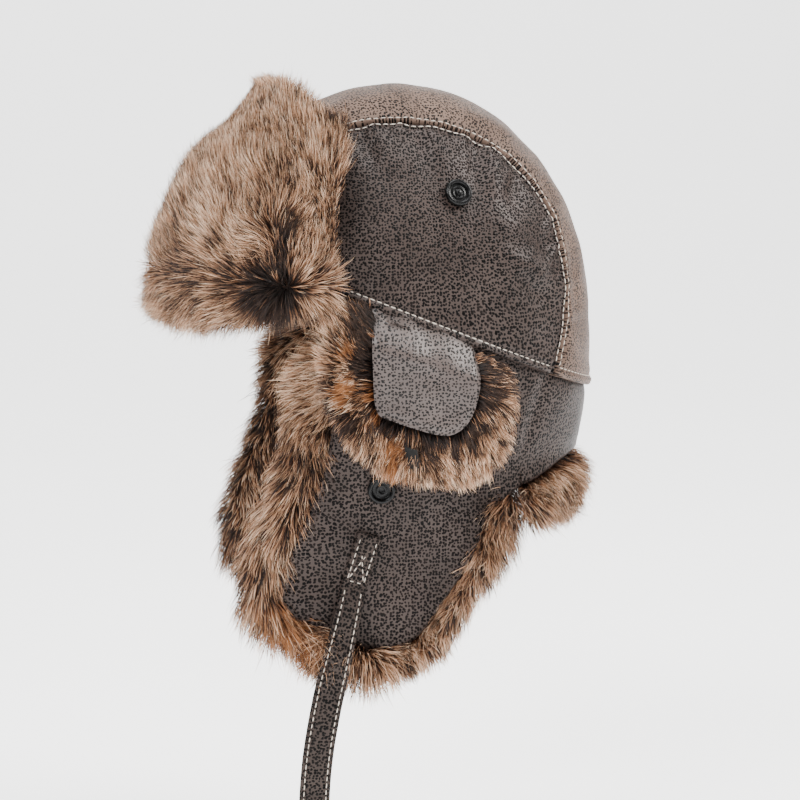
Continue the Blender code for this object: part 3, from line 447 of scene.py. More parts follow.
# ------------------------------------------------------------------ materials
class Mat:
    def __init__(self, name):
        self.m = bpy.data.materials.new(name)
        self.m.use_nodes = True
        self.t = self.m.node_tree
        self.t.nodes.clear()
        out = self.t.nodes.new("ShaderNodeOutputMaterial")
        self.b = self.t.nodes.new("ShaderNodeBsdfPrincipled")
        self.t.links.new(self.b.outputs[0], out.inputs[0])

    def node(self, kind, **props):
        n = self.t.nodes.new("ShaderNode" + kind)
        for k, v in props.items():
            setattr(n, k, v)
        return n

    def put(self, sock, val):
        if isinstance(val, bpy.types.NodeSocket):
            self.t.links.new(val, sock)
        elif isinstance(val, (tuple, list)) and len(val) == 3 and len(sock.default_value) == 4:
            sock.default_value = (*val, 1.0)
        else:
            sock.default_value = val

    def set(self, **kw):
        for k, v in kw.items():
            self.put(self.b.inputs[k.replace("_", " ")], v)

    def math(self, op, a, b=None, clamp=False):
        n = self.node("Math", operation=op, use_clamp=clamp)
        self.put(n.inputs[0], a)
        if b is not None:
            self.put(n.inputs[1], b)
        return n.outputs[0]

    def mix(self, fac, a, b, blend="MIX"):
        n = self.node("Mix", data_type="RGBA", blend_type=blend)
        self.put(n.inputs["Factor"], fac)
        self.put(n.inputs[6], a)
        self.put(n.inputs[7], b)
        return n.outputs[2]

    def uv(self, name):
        return self.node("UVMap", uv_map=name).outputs[0]

    def obj(self):
        return self.node("TexCoord").outputs["Object"]

    def scale(self, vec, s):
        n = self.node("VectorMath", operation="MULTIPLY")
        self.put(n.inputs[0], vec)
        n.inputs[1].default_value = (s, s, s) if not isinstance(s, tuple) else s
        return n.outputs[0]

    def add(self, a, b):
        n = self.node("VectorMath", operation="ADD")
        self.put(n.inputs[0], a)
        self.put(n.inputs[1], b)
        return n.outputs[0]

    def noise(self, vec, scale, detail=2.0, rough=0.5, colour=False):
        n = self.node("TexNoise")
        self.put(n.inputs["Vector"], vec)
        n.inputs["Scale"].default_value = scale
        n.inputs["Detail"].default_value = detail
        n.inputs["Roughness"].default_value = rough
        return n.outputs["Color" if colour else "Fac"]

    def ramp(self, fac, stops):
        n = self.node("ValToRGB")
        self.put(n.inputs[0], fac)
        cr = n.color_ramp
        while len(cr.elements) < len(stops):
            cr.elements.new(0.5)
        for e, (p, c) in zip(cr.elements, stops):
            e.position = p
            e.color = (*c, 1.0) if isinstance(c, tuple) else (c, c, c, 1.0)
        return n.outputs[0]

    def range(self, v, a, b, c=0.0, d=1.0, smooth=True):
        n = self.node("MapRange", interpolation_type="SMOOTHSTEP" if smooth else "LINEAR")
        self.put(n.inputs[0], v)
        for k, q in zip((1, 2, 3, 4), (a, b, c, d)):
            self.put(n.inputs[k], q)
        return n.outputs[0]

    def bump(self, height, distance, strength=1.0, normal=None):
        n = self.node("Bump")
        n.inputs["Strength"].default_value = strength
        n.inputs["Distance"].default_value = distance
        self.put(n.inputs["Height"], height)
        if normal is not None:
            self.put(n.inputs["Normal"], normal)
        self.t.links.new(n.outputs[0], self.b.inputs["Normal"])
        return n.outputs[0]


def leather_material(name, base_a, base_b, dot, cell=1.85, size=0.375, rough=(0.52, 0.33), relief=0.00020, sheen=0.0, spec=(0.08, 0.36)):
    m = Mat(name)
    uv = m.uv("pebble")
    wob = m.noise(uv, 0.75, 1.0, colour=True)
    centred = m.node("VectorMath", operation="SUBTRACT")
    m.put(centred.inputs[0], wob)
    centred.inputs[1].default_value = (0.5, 0.5, 0.5)
    p = m.add(uv, m.scale(centred.outputs[0], 1.25))
    vor = m.node("TexVoronoi", voronoi_dimensions="2D")
    m.put(vor.inputs["Vector"], p)
    vor.inputs["Scale"].default_value = 1.0 / cell
    vor.inputs["Randomness"].default_value = 0.74
    sep = m.node("SeparateColor")
    m.put(sep.inputs[0], vor.outputs["Color"])
    rad = m.math("ADD", m.math("MULTIPLY", sep.outputs[0], 0.17), size - 0.085)
    d = m.math("SUBTRACT", rad, vor.outputs["Distance"])
    mask = m.range(d, -0.035, 0.045)
    patch = m.noise(uv, 0.035, 2.0)
    base = m.mix(m.range(patch, 0.35, 0.68), base_a, base_b)
    fine = m.noise(uv, 2.6, 2.0, 0.6)
    base = m.mix(m.range(fine, 0.3, 0.75, 0.0, 0.30), base, (base_b[0] * 1.5, base_b[1] * 1.48, base_b[2] * 1.45))
    depth = m.math("MULTIPLY", mask, m.range(m.noise(uv, 0.12, 1.0), 0.25, 0.6, 0.84, 1.0))
    m.set(Base_Color=m.mix(depth, base, dot))
    m.set(Roughness=m.range(mask, 0.0, 1.0, rough[0], rough[1], smooth=False))
    m.put(m.b.inputs["Specular IOR Level"], m.range(mask, 0.0, 1.0, spec[0], spec[1], smooth=False))
    m.put(m.b.inputs["Sheen Weight"], sheen)
    m.put(m.b.inputs["Sheen Roughness"], 0.35)
    m.put(m.b.inputs["Sheen Tint"], (0.95, 0.72, 0.58))
    dome = m.range(d, -0.10, 0.30)
    h = m.math("ADD", m.math("MULTIPLY", dome, 1.0), m.math("MULTIPLY", fine, 0.30))
    m.bump(h, relief, 0.9)
    return m.m


def fur_material(name="fur_strands"):
    """Banded pile: u picks the kind of hair, v runs from root to tip."""
    m = Mat(name)
    xyz = m.node("SeparateXYZ")
    m.put(xyz.inputs[0], m.uv("OFBake"))
    u, v = xyz.outputs[0], xyz.outputs[1]
    tan = m.ramp(v, [(0.0, (0.010, 0.005, 0.003)), (0.30, (0.048, 0.021, 0.011)), (0.58, (0.22, 0.100, 0.050)),
                     (0.82, (0.52, 0.285, 0.160)), (1.0, (0.80, 0.53, 0.345))])
    dark = m.ramp(v, [(0.0, (0.003, 0.002, 0.0015)), (0.55, (0.010, 0.0055, 0.0040)), (0.85, (0.034, 0.018, 0.012)),
                      (1.0, (0.16, 0.092, 0.058))])
    rust = m.ramp(v, [(0.0, (0.010, 0.004, 0.002)), (0.30, (0.055, 0.019, 0.006)), (0.65, (0.215, 0.078, 0.025)),
                      (1.0, (0.45, 0.205, 0.090))])
    pale = m.ramp(v, [(0.0, (0.018, 0.010, 0.006)), (0.32, (0.12, 0.060, 0.034)), (0.60, (0.50, 0.295, 0.180)),
                      (1.0, (0.96, 0.745, 0.55))])
    c = m.mix(m.range(u, 0.22, 0.36), dark, tan)
    c = m.mix(m.range(u, 0.56, 0.70), c, pale)
    c = m.mix(m.range(u, 0.86, 0.90), c, rust)
    m.set(Base_Color=c, Roughness=0.55)
    m.put(m.b.inputs["Specular IOR Level"], 0.22)
    return m.m


def undercoat_material():
    m = Mat("fur_undercoat")
    o = m.obj()
    a = m.noise(o, 260.0, 3.0, 0.6)
    b = m.noise(m.scale(o, (1.0, 1.0, 0.35)), 900.0, 2.0, 0.6)
    m.set(Base_Color=m.ramp(a, [(0.3, (0.008, 0.005, 0.004)), (0.55, (0.024, 0.013, 0.009)), (0.8, (0.07, 0.038, 0.024))]),
          Roughness=0.9)
    m.put(m.b.inputs["Specular IOR Level"], 0.15)
    m.bump(m.math("ADD", a, m.math("MULTIPLY", b, 0.8)), 0.0016, 1.0)
    return m.m


def thread_material(name, colour):
    m = Mat(name)
    o = m.obj()
    w = m.node("TexWave", bands_direction="DIAGONAL")
    m.put(w.inputs["Vector"], o)
    w.inputs["Scale"].default_value = 900.0
    w.inputs["Distortion"].default_value = 1.0
    n = m.noise(o, 500.0, 2.0)
    m.set(Base_Color=m.mix(m.range(n, 0.3, 0.7), tuple(c * 0.82 for c in colour), colour), Roughness=0.72)
    m.bump(w.outputs["Fac"], 0.00012, 0.7)
    return m.m


def snap_material():
    m = Mat("snap_black")
    o = m.obj()
    n = m.noise(o, 1400.0, 3.0, 0.6)
    s = m.noise(m.scale(o, (1.0, 0.15, 1.0)), 3000.0, 2.0)
    m.set(Base_Color=m.mix(m.range(n, 0.35, 0.7), (0.0016, 0.0016, 0.0017), (0.0032, 0.0032, 0.0034)), Metallic=0.0,
          Roughness=m.range(s, 0.3, 0.8, 0.24, 0.36))
    m.put(m.b.inputs["Specular IOR Level"], 0.20)
    m.bump(n, 0.00003, 0.5)
    return m.m


def weave_material(name, a, b, scale=1500.0, rough=0.8, relief=0.00012, uv=True):
    m = Mat(name)
    src = m.uv("pebble") if uv else m.scale(m.obj(), 1000.0)
    outs = []
    for dirn in ("X", "Y"):
        w = m.node("TexWave", bands_direction=dirn)
        m.put(w.inputs["Vector"], src)
        w.inputs["Scale"].default_value = scale
        w.inputs["Distortion"].default_value = 0.4
        outs.append(w.outputs["Fac"])
    h = m.math("MAXIMUM", outs[0], outs[1])
    n = m.noise(src, 0.15, 2.0)
    c = m.mix(m.math("MULTIPLY", h, 0.7), a, b)
    m.set(Base_Color=m.mix(m.range(n, 0.3, 0.7, 0.0, 0.25), c, tuple(x * 1.6 for x in b)), Roughness=rough)
    m.put(m.b.inputs["Specular IOR Level"], 0.2)
    m.put(m.b.inputs["Sheen Weight"], 0.05)
    m.bump(h, relief, 0.8)
    return m.m


LEA = leather_material("leather", (0.031, 0.0215, 0.0184), (0.046, 0.0330, 0.0287), (0.0010, 0.0008, 0.0007),
                       cell=1.76, size=0.388, rough=(0.47, 0.36), spec=(0.19, 0.07))
# Painted light: the centre panel's leather is a lighter copy of the side leather. It stands in for the grazing sheen
# and rim light on the crown's top and back.
LEA_CENTRE_PAINTED_LIGHT = leather_material("leather_centre_painted_light", (0.088, 0.056, 0.042), (0.130, 0.086, 0.066), (0.0030, 0.0022, 0.0018),
                              cell=1.74, size=0.350, rough=(0.52, 0.40), sheen=0.03, spec=(0.14, 0.07))
# Partly painted light: the cover patch is glossier leather (specular and roughness), and its base colour is a lighter
# copy of the side leather that stands in for the highlight on the patch.
LEA_COVER_PAINTED_LIGHT = leather_material("leather_cover_painted_light", (0.058, 0.0430, 0.0385), (0.078, 0.0595, 0.0535), (0.0024, 0.0019, 0.0018),
                             cell=1.70, size=0.335, rough=(0.42, 0.30), relief=0.00020, spec=(0.42, 0.20))
LEA_STRAP = leather_material("leather_strap", (0.026, 0.0190, 0.0165), (0.044, 0.0330, 0.0285), (0.0014, 0.0012, 0.0011),
                             cell=1.78, size=0.40, rough=(0.50, 0.34), relief=0.00030, spec=(0.10, 0.06))
FUR = fur_material()
UNDER = undercoat_material()
THREAD = thread_material("thread_offwhite", (0.52, 0.455, 0.385))
THREAD_DARK = thread_material("thread_dark", (0.05, 0.042, 0.038))
SNAP = snap_material()
LINING_MAT = weave_material("lining_satin", (0.012, 0.011, 0.011), (0.030, 0.027, 0.026), 1.6, 0.5, 0.00006)
BAND_MAT = weave_material("band_twill", (0.018, 0.016, 0.015), (0.055, 0.050, 0.047), 0.9, 0.85, 0.00018)
TAB_MAT = weave_material("tab_webbing", (0.0018, 0.0018, 0.0018), (0.007, 0.0068, 0.0065), 1.1, 0.75, 0.00020)


# ------------------------------------------------------------------ leather relief
SOFT = Waves(3, 70.0)
MID = Waves(5, 30.0)
PLAN_T = np.linspace(-math.pi, math.pi, 2001)
_c, _s = np.cos(PLAN_T), np.sin(PLAN_T)
_px = 88.0 * np.sign(_c) * np.abs(_c) ** (2 / PLAN_EXP)
_py = 110.0 * np.sign(_s) * np.abs(_s) ** (2 / PLAN_EXP)
PLAN_ANG = np.unwrap(np.arctan2(_py, _px))
PLAN_LEN = np.concatenate([[0], np.cumsum(np.hypot(np.diff(_px), np.diff(_py)))])
PLAN_LEN -= np.interp(0.0, PLAN_ANG, PLAN_LEN)


def skirt_uv(p):
    ang = np.arctan2(p[..., 1], np.abs(p[..., 0]))
    return np.stack([np.interp(ang, PLAN_ANG, PLAN_LEN), p[..., 2]], -1).reshape(-1, 2)


def side_uv(p):
    q = p - np.array([0.0, 0.0, 20.0])
    q = np.abs(q) * [1, 0, 0] + q * [0, 1, 1]
    ang = np.arctan2(np.hypot(q[..., 1], q[..., 2]), q[..., 0])
    psi = np.arctan2(q[..., 2], q[..., 1])
    return (np.stack([np.cos(psi), np.sin(psi)], -1) * (ang * 96.0)[..., None]).reshape(-1, 2)


def clustered(n, a=0.72):
    t = np.linspace(0, 1, n)
    return t * (1 - a) + a * (0.5 - 0.5 * np.cos(math.pi * t))


def seam_relief(d):
    return -2.1 * bump(d, 0, 0.95) + 0.70 * bump(d, 1.9, 1.2) - 0.45 * bump(d, 4.1, 0.8) + 0.30 * bump(d, 6.8, 2.6)


def hem_relief(d):
    return 1.15 * bump(d, 1.4, 1.9) - 0.5 * bump(d, 4.2, 0.8) + 0.45 * bump(d, 7.5, 2.8)


def roll(outer, inner, nrm, axis, end, r=1.4):
    """Rounded border past one edge of a panel's matching outer and inner grids."""
    o, q, n = [np.moveaxis(a, axis, 0) for a in (outer, inner, nrm)]
    if not end:
        o, q, n = o[::-1], q[::-1], n[::-1]
    t = unit(o[-1] - o[-4])
    nn = n[-1]
    c = o[-1] - r * nn

    def at(deg):
        a = math.radians(deg)
        return c + r * (math.cos(a) * nn + math.sin(a) * t)

    o = np.concatenate([o, [at(28), at(58), at(88)]])
    q = np.concatenate([q[:-1], [at(180), at(160), at(136), at(112)]])
    n = np.concatenate([n, n[-1:], n[-1:], n[-1:]])
    if not end:
        o, q, n = o[::-1], q[::-1], n[::-1]
    return [np.moveaxis(a, 0, axis) for a in (o, q, n)]


def line_at(grid, nrm, axis, dist, from_end=False, trim=0.0):
    """Points and normals at a fixed distance from one border of a grid."""
    g, n = np.moveaxis(grid, axis, 1), np.moveaxis(nrm, axis, 1)
    if from_end:
        g, n = g[:, ::-1], n[:, ::-1]
    d = np.concatenate([np.zeros((len(g), 1)), np.cumsum(np.linalg.norm(np.diff(g, axis=1), axis=2), axis=1)], 1)
    pts, ns = [], []
    for i in range(len(g)):
        if d[i, -1] < dist + 1.5:
            continue
        pts.append([np.interp(dist, d[i], g[i, :, k]) for k in range(3)])
        ns.append([np.interp(dist, d[i], n[i, :, k]) for k in range(3)])
    pts, ns = np.array(pts), unit(np.array(ns))
    if trim:
        s = np.concatenate([[0], np.cumsum(np.linalg.norm(np.diff(pts, axis=0), axis=1))])
        keep = (s > trim) & (s < s[-1] - trim)
        pts, ns = pts[keep], ns[keep]
    return pts, ns


# ------------------------------------------------------------------ crown side panels
def side_grid(m, n):
    w0, w1 = SEAM_HALF[0] + 0.03, SEAM_HALF[-1] + 0.03
    a0 = float(arc_hem([w0], -40.0, 80.0, True)[0])
    a1 = float(arc_hem([w1], 100.0, 215.0, False)[0])
    thetas = np.radians(np.linspace(-89.5, 89.5, 1800))
    hp = hem_point(thetas)
    t0 = float(np.interp(w0, hp[:900, 0], thetas[:900]))
    t1 = float(np.interp(-w1, -hp[900:, 0], thetas[900:]))
    o = np.array([0.0, 0.0, EQUATOR_Z])
    s = 0.004 + 0.992 * clustered(m, 0.25)
    a = a0 + (a1 - a0) * s
    top = arc_point(a, seam_half(a) + 0.03)
    low = hem_point(t0 + (t1 - t0) * s)
    d0, d1 = unit(top - o), unit(low - o)
    v = clustered(n)[None, :, None]
    p = shoot(o, unit((1 - v) * d0[:, None] + v * d1[:, None]))
    p[:, 0], p[:, -1] = top, low
    return p


def cumdist(p, axis):
    q = np.moveaxis(p, axis, 1)
    d = np.concatenate([np.zeros((len(q), 1)), np.cumsum(np.linalg.norm(np.diff(q, axis=1), axis=2), axis=1)], 1)
    return np.moveaxis(d, 1, axis) if axis == 0 else d


base = side_grid(300, 92)
nrm = outward(base)
ds = cumdist(base, 1)
dh = ds[:, -1:] - ds
wide = smoothstep(ds[:, -1:] / 14.0)
# soft puckers that run in from the seam and die out towards the middle
run = np.concatenate([[0], np.cumsum(np.linalg.norm(np.diff(base[:, 0], axis=0), axis=1))])[:, None]
ang = np.degrees(np.arctan2(base[:, :1, 2] - EQUATOR_Z, -base[:, :1, 1]))
top_part = smoothstep((ang - 62) / 20) * (1 - smoothstep((ang - 152) / 14))
# two irregular phase fields bend and space the puckers unevenly
pd = base[:, 0] * [1, 1, 0.2]
phase = run / 23.0 * 2 * math.pi + 1.9 * np.sin(run / 61.0 * 2 * math.pi) + ds * 0.018
pucker = (np.maximum(0, np.cos(phase)) ** 2 - 0.35) * np.exp(-ds / 20.0) * smoothstep(ds / 5.0) * top_part
def fold(cy, cz, dy, dz, along, across):
    """Elongated bump centred at (y, z), lying along the direction (dy, dz)."""
    y, z = base[..., 1] - cy, base[..., 2] - cz
    k = math.hypot(dy, dz)
    a, b = (y * dy + z * dz) / k, (-y * dz + z * dy) / k
    return np.exp(-(a / along) ** 2 - (b / across) ** 2)


dents = (-2.4 * fold(36, 74, 0.15, 1, 13, 4.6) + 1.9 * fold(46, 71, 0.15, 1, 15, 5.5) - 1.7 * fold(57, 66, 0.2, 1, 12, 4.4)
         - 2.8 * fold(73, 33, 0.9, -0.45, 11, 5.2) + 2.2 * fold(64, 20, 0.87, -0.5, 19, 5.0)
         - 1.8 * fold(70, 4, 0.8, -0.6, 14, 5.0) + 1.5 * fold(52, 42, 0.6, -0.5, 14, 9.0)
         - 2.0 * fold(6, 84, -0.25, 1, 12, 4.8) + 1.3 * fold(15, 84, -0.2, 1, 12, 5.0)
         - 1.6 * fold(-22, 84, -0.3, 1, 11, 4.5) + 1.1 * fold(-13, 84, -0.3, 1, 11, 5.0)
         - 1.2 * fold(-30, 20, 0.35, 1, 22, 8.0))
snap_pos = np.array([0.0, *CROWN_SNAP])
dsn = np.linalg.norm((base - snap_pos)[..., 1:], axis=-1)
h = (seam_relief(ds) + hem_relief(dh) * wide + 1.7 * pucker + 1.15 * dents * wide
     + 0.50 * SOFT(base) * smoothstep(ds / 14) * smoothstep(dh / 16)
     + 0.26 * MID(base) * smoothstep(ds / 10) * smoothstep(dh / 10)
     - 0.7 * bump(dsn, 0, 10.5) * (base[..., 2] > 20))
# slight gathers along the hem
h = h + 0.16 * np.sin(base[..., 1] / 5.1 + 1.1 * np.sin(base[..., 1] / 13)) * np.exp(-dh / 6.0) * wide
outer = base + h[..., None] * nrm
depth = np.maximum(1.4, 0.8 - h) + 1.3 * smoothstep(1 - dh / 9.0) * wide
inner = base - depth[..., None] * nrm
SIDE_GRID, SIDE_N = outer.copy(), nrm.copy()
o2, i2, n2 = roll(outer, inner, nrm, 1, True)
m, n = o2.shape[:2]
verts = np.concatenate([o2.reshape(-1, 3), i2.reshape(-1, 3)])
faces = orient(verts, slab_faces(m, n))
uv = side_uv(verts)
for side, g in SIDES:
    ob = build("crown_side_leather_" + side, verts, faces, LEA, "leather", uv, mirror=g < 0)
    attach(ob, "crown")
    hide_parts("crown_side_panel_" + side)
row_seam = line_at(SIDE_GRID, SIDE_N, 1, 4.0, trim=4)
row_hem = line_at(SIDE_GRID, SIDE_N, 1, 4.2, from_end=True, trim=3)
v, f = stitches([row_seam, row_hem])
for side, g in SIDES:
    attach(build("stitches_side_" + side, v, f, THREAD, "leather", mirror=g < 0), "crown")

# ------------------------------------------------------------------ crown centre panel
m, n = 340, 74
lat = (clustered(n, 0.66) * 2 - 1)
ang0 = arc_hem(lat * SEAM_HALF[0], -40.0, 80.0, True)
ang1 = arc_hem(lat * SEAM_HALF[-1], 100.0, 215.0, False)
s = clustered(m, 0.3)[:, None]
a = ang0[None] + (ang1 - ang0)[None] * s
base = arc_point(a, lat[None] * (seam_half(a) - 0.03))
nrm = outward(base)
dj = cumdist(base, 1)
ds = np.minimum(dj, dj[:, -1:] - dj)
di = cumdist(base, 0)
dh = np.minimum(di, di[-1:] - di)
run = di[:, :1]
ang = np.degrees(a)
phase = run / 27.0 * 2 * math.pi + 1.6 * np.sin(run / 71.0 * 2 * math.pi) + ds * 0.02
pucker = (np.maximum(0, np.cos(phase)) ** 2 - 0.35) * np.exp(-ds / 16.0) * smoothstep(ds / 5.0)
h = (seam_relief(ds) + hem_relief(dh) + 1.3 * pucker + 0.45 * SOFT(base) * smoothstep(ds / 14) * smoothstep(dh / 16)
     + 0.25 * MID(base) * smoothstep(ds / 10) * smoothstep(dh / 10))
outer = base + h[..., None] * nrm
depth = np.maximum(1.4, 0.8 - h) + 1.3 * smoothstep(1 - dh / 9.0)
inner = base - depth[..., None] * nrm
CENTRE_GRID, CENTRE_N = outer.copy(), nrm.copy()
o2, i2, n2 = roll(outer, inner, nrm, 0, True)
o2, i2, n2 = roll(o2, i2, n2, 0, False)
arc = np.concatenate([[0], np.cumsum(np.linalg.norm(np.diff(o2[:, n // 2], axis=0), axis=1))])
m = len(o2)
uv1 = np.stack([o2[..., 0] * 1.05, np.broadcast_to(arc[:, None], o2.shape[:2])], -1).reshape(-1, 2)
verts = np.concatenate([o2.reshape(-1, 3), i2.reshape(-1, 3)])
faces = orient(verts, slab_faces(m, n))
ob = build("crown_centre_leather", verts, faces, LEA_CENTRE_PAINTED_LIGHT, "leather", np.concatenate([uv1, uv1]) + [300.0, 0.0])
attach(ob, "crown")
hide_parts("crown_center_panel", "crown_padding")
rows = [line_at(CENTRE_GRID, CENTRE_N, 1, 4.3, trim=4), line_at(CENTRE_GRID, CENTRE_N, 1, 4.3, from_end=True, trim=4),
        line_at(CENTRE_GRID, CENTRE_N, 0, 4.2, from_end=True, trim=3), line_at(CENTRE_GRID, CENTRE_N, 0, 4.2, trim=3)]
v, f = stitches(rows)
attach(build("stitches_centre", v, f, THREAD, "leather"), "crown")

# ------------------------------------------------------------------ lining and sweatband
D1 = LEATHER + CROWN_GAP
D3 = D1 + PADDING + CROWN_GAP
D4 = D3 + LINING
D5 = D4 + CROWN_GAP / 2


def dome(depth_fn, lift, m, n):
    th = np.linspace(0, 2 * math.pi, n, endpoint=False)
    hp = hem_point(th)
    hp[:, 2] += lift
    o = np.array([0.0, 0.0, EQUATOR_Z])
    d = hp - o
    plan = np.hypot(d[:, 0], d[:, 1])
    psi0 = np.arctan2(d[:, 2], plan)
    k = (np.arange(m) / (m - 1)) * 0.992
    psi = psi0[None] + (math.pi / 2 - psi0)[None] * k[:, None]
    dirs = np.stack([np.cos(psi) * (d[:, 0] / plan)[None], np.cos(psi) * (d[:, 1] / plan)[None], np.sin(psi)], -1)
    p = shoot(o, dirs)
    nn = outward(p)
    return p, nn


p, nn = dome(None, 1.2, 110, 300)
q = p - D4 * nn
along = np.concatenate([np.zeros((1, 300)), np.cumsum(np.linalg.norm(np.diff(p, axis=0), axis=2), axis=0)], 0)
theta = np.arctan2(p[..., 1] / HALF_LENGTH, p[..., 0] / HALF_WIDTH)
u1 = theta * 100.0
cells = 2 * math.pi * 100.0 / 22.0
ph = theta * 22.0
w1, w2 = ph / 2 + along * math.pi / 44.0, ph / 2 - along * math.pi / 44.0
puff = np.sqrt(np.abs(np.sin(w1)) * np.abs(np.sin(w2)))
clear = smoothstep((along - 30.0) / 6.0)
inset = D4 - 0.7 + 2.3 * puff * clear + 0.5 * clear
inner = p - inset[..., None] * nn
outer = p - (D3 - 0.4) * nn
gi, go = np.swapaxes(inner, 0, 1), np.swapaxes(outer, 0, 1)
verts = np.concatenate([go.reshape(-1, 3), gi.reshape(-1, 3)])
luv = np.stack([np.swapaxes(u1, 0, 1).ravel(), np.swapaxes(along, 0, 1).ravel()], -1)
ob = build("quilted_lining", verts, orient(verts, slab_faces(300, 110, closed_i=True)), LINING_MAT, "lining",
           np.concatenate([luv, luv]))
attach(ob, "crown")
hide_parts("crown_lining")

n = 260
th = np.linspace(0, 2 * math.pi, n, endpoint=False)
hp = hem_point(th)
o = np.array([0.0, 0.0, EQUATOR_Z])
prof = [(0.0, 0.2), (0.6, 0.0), (2.0, -0.05), (4.0, 0.12), (8, -0.1), (14, -0.15), (20, -0.1), (24, 0.12), (26, -0.05),
        (27.4, 0.0), (28.0, 0.2)]
rings_o, rings_i, uvs = [], [], []
for dz, e in prof:
    q = hp.copy()
    q[:, 2] += 1.2 + dz
    d = unit(q - o)
    q = shoot(o, d)
    nn = outward(q)
    rings_i.append(q - (D5 + BAND - 0.1 - e) * nn)
    rings_o.append(q - (D5 + 0.1 + e * 0.5) * nn)
    uvs.append(np.stack([th * 100.0, np.full(n, dz)], -1))
go, gi = np.stack(rings_o, 1), np.stack(rings_i, 1)
verts = np.concatenate([go.reshape(-1, 3), gi.reshape(-1, 3)])
luv = np.stack(uvs, 1).reshape(-1, 2)
ob = build("sweatband_tape", verts, orient(verts, slab_faces(n, len(prof), closed_i=True)), BAND_MAT, "sweatband",
           np.concatenate([luv, luv]))
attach(ob, "crown")
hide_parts("sweatband")
paths = []
for dz in (3.2, 25.0):
    q = hp.copy()
    q[:, 2] += 1.2 + dz
    q = shoot(o, unit(q - o))
    nn = outward(q)
    q = q - (D5 + BAND - 0.15) * nn
    paths.append((np.vstack([q, q[:1]]), -np.vstack([nn, nn[:1]])))
v, f = stitches(paths, length=2.6, pitch=3.6, width=0.6, height=0.45)
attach(build("stitches_sweatband", v, f, THREAD_DARK, "sweatband"), "crown")


def fold_blend(ob):
    """Bakes the piece's transform into its mesh."""
    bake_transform(ob)


def crease(p):
    """Soft slanted fold where the nape meets the ear flap."""
    y, z = p[..., 1], p[..., 2]
    t = np.clip((-30.0 - z) / 55.0, 0, 1)
    line = 76.0 - 16.0 * t
    side = np.abs(p[..., 0]) > 20
    return (-1.3 * np.exp(-((y - line) / 4.0) ** 2) + 0.8 * np.exp(-((y - line + 7.5) / 5.0) ** 2)) \
        * smoothstep(t / 0.25) * (1 - smoothstep((t - 0.7) / 0.3)) * side


def skirt_relief(p):
    under_hem = -1.3 * np.exp(-(np.maximum(0.0, hem_z(p[..., 1]) - p[..., 2]) / 5.0) ** 2)
    return 0.50 * SOFT(p) + 0.24 * MID(p) + crease(p) + under_hem


TUCK = -4.5
front = [(y, z if z is not None else float(hem_z(y)) - TUCK) for y, z in FLAP_FRONT]
zc = float(hem_z(CUT_TOP_Y)) - TUCK
free = catmull(front + list(FLAP_BOTTOM) + [CUT_LOW], 270)
zt = np.linspace(CUT_LOW[1], zc, 46)[1:]
rear = np.stack([cut_y(zt), zt], -1)
yt = np.linspace(rear[-1, 0], front[0][0], 60)[1:-1]
topl = np.stack([yt, hem_z(yt) - TUCK], -1)
loop = np.vstack([free, rear, topl])
is_free = np.concatenate([np.ones(len(free)), np.zeros(len(rear) + len(topl))])
EAR_LOOP = resample(loop, 160, closed=True)
hole_c, hole_r = np.array(HOLE_C), np.array(HOLE_R)
dd = loop - hole_c
ha = np.arctan2(dd[:, 1] / hole_r[1], dd[:, 0] / hole_r[0])
hole = hole_c + np.stack([hole_r[0] * np.cos(ha), hole_r[1] * np.sin(ha)], -1)
steps = clustered(52, 0.6)
yz = hole[:, None] + (loop - hole)[:, None] * steps[None, :, None]
reach = np.linalg.norm(loop - hole, axis=1)[:, None]
de = reach * (1 - steps)[None]
dhole = reach * steps[None]
p = np.stack([skirt_x(yz[..., 0], yz[..., 1]), yz[..., 0], yz[..., 1]], -1)
nn = skirt_normal(yz[..., 0], yz[..., 1])
edge = is_free[:, None]
h = skirt_relief(p) * smoothstep(dhole / 8) * (1 - edge * (1 - smoothstep(de / 12)))
h = h + edge * (0.5 * bump(de, 3.0, 2.4) - 0.9 * bump(de, 0.0, 1.4)) - 0.8 * bump(dhole, 0, 1.5)
dsn = np.linalg.norm(yz - np.array(FLAP_SNAP), axis=-1)
h = h - 0.35 * bump(dsn, 0, 10.0)
outer = p + h[..., None] * nn
inner = p - (LEATHER + 2.4) * nn
inner = inner + (edge * 1.2 * bump(de, 0, 2.0))[..., None] * nn
m, n = outer.shape[:2]
verts = np.concatenate([outer.reshape(-1, 3), inner.reshape(-1, 3)])
faces = orient(verts, slab_faces(m, n, closed_i=True))
uv = skirt_uv(verts)
for side, g in SIDES:
    ob = build("ear_leather_" + side, verts, faces, LEA, "leather", uv, mirror=g < 0, sharp=70)
    fold_blend(ob)
    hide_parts("ear_shell_" + side, "ear_padding_" + side)

m, n = 96, 62
s = -1 + np.linspace(0, 1, m)[:, None] * np.ones((1, n))
t = clustered(n, 0.5)[None, :] * np.ones((m, 1))
base = nape_point(s, lambda y: (hem_z(y) - TUCK) * (1 - t) + nape_low(y) * t, 0.0)
e = 0.4


def skirt_level_normal(p):
    """Outward normal of the nape's superelliptic wall."""
    hx, hy, _d = skirt_axes(p[..., 1], p[..., 2])
    gx = PLAN_EXP * (np.abs(p[..., 0]) / hx) ** (PLAN_EXP - 1) / hx * np.sign(p[..., 0] + 1e-9)
    gy = PLAN_EXP * (np.abs(p[..., 1]) / hy) ** (PLAN_EXP - 1) / hy * np.sign(p[..., 1])
    return unit(np.stack([gx, gy, np.full_like(gx, -0.10 * 0.02)], -1))


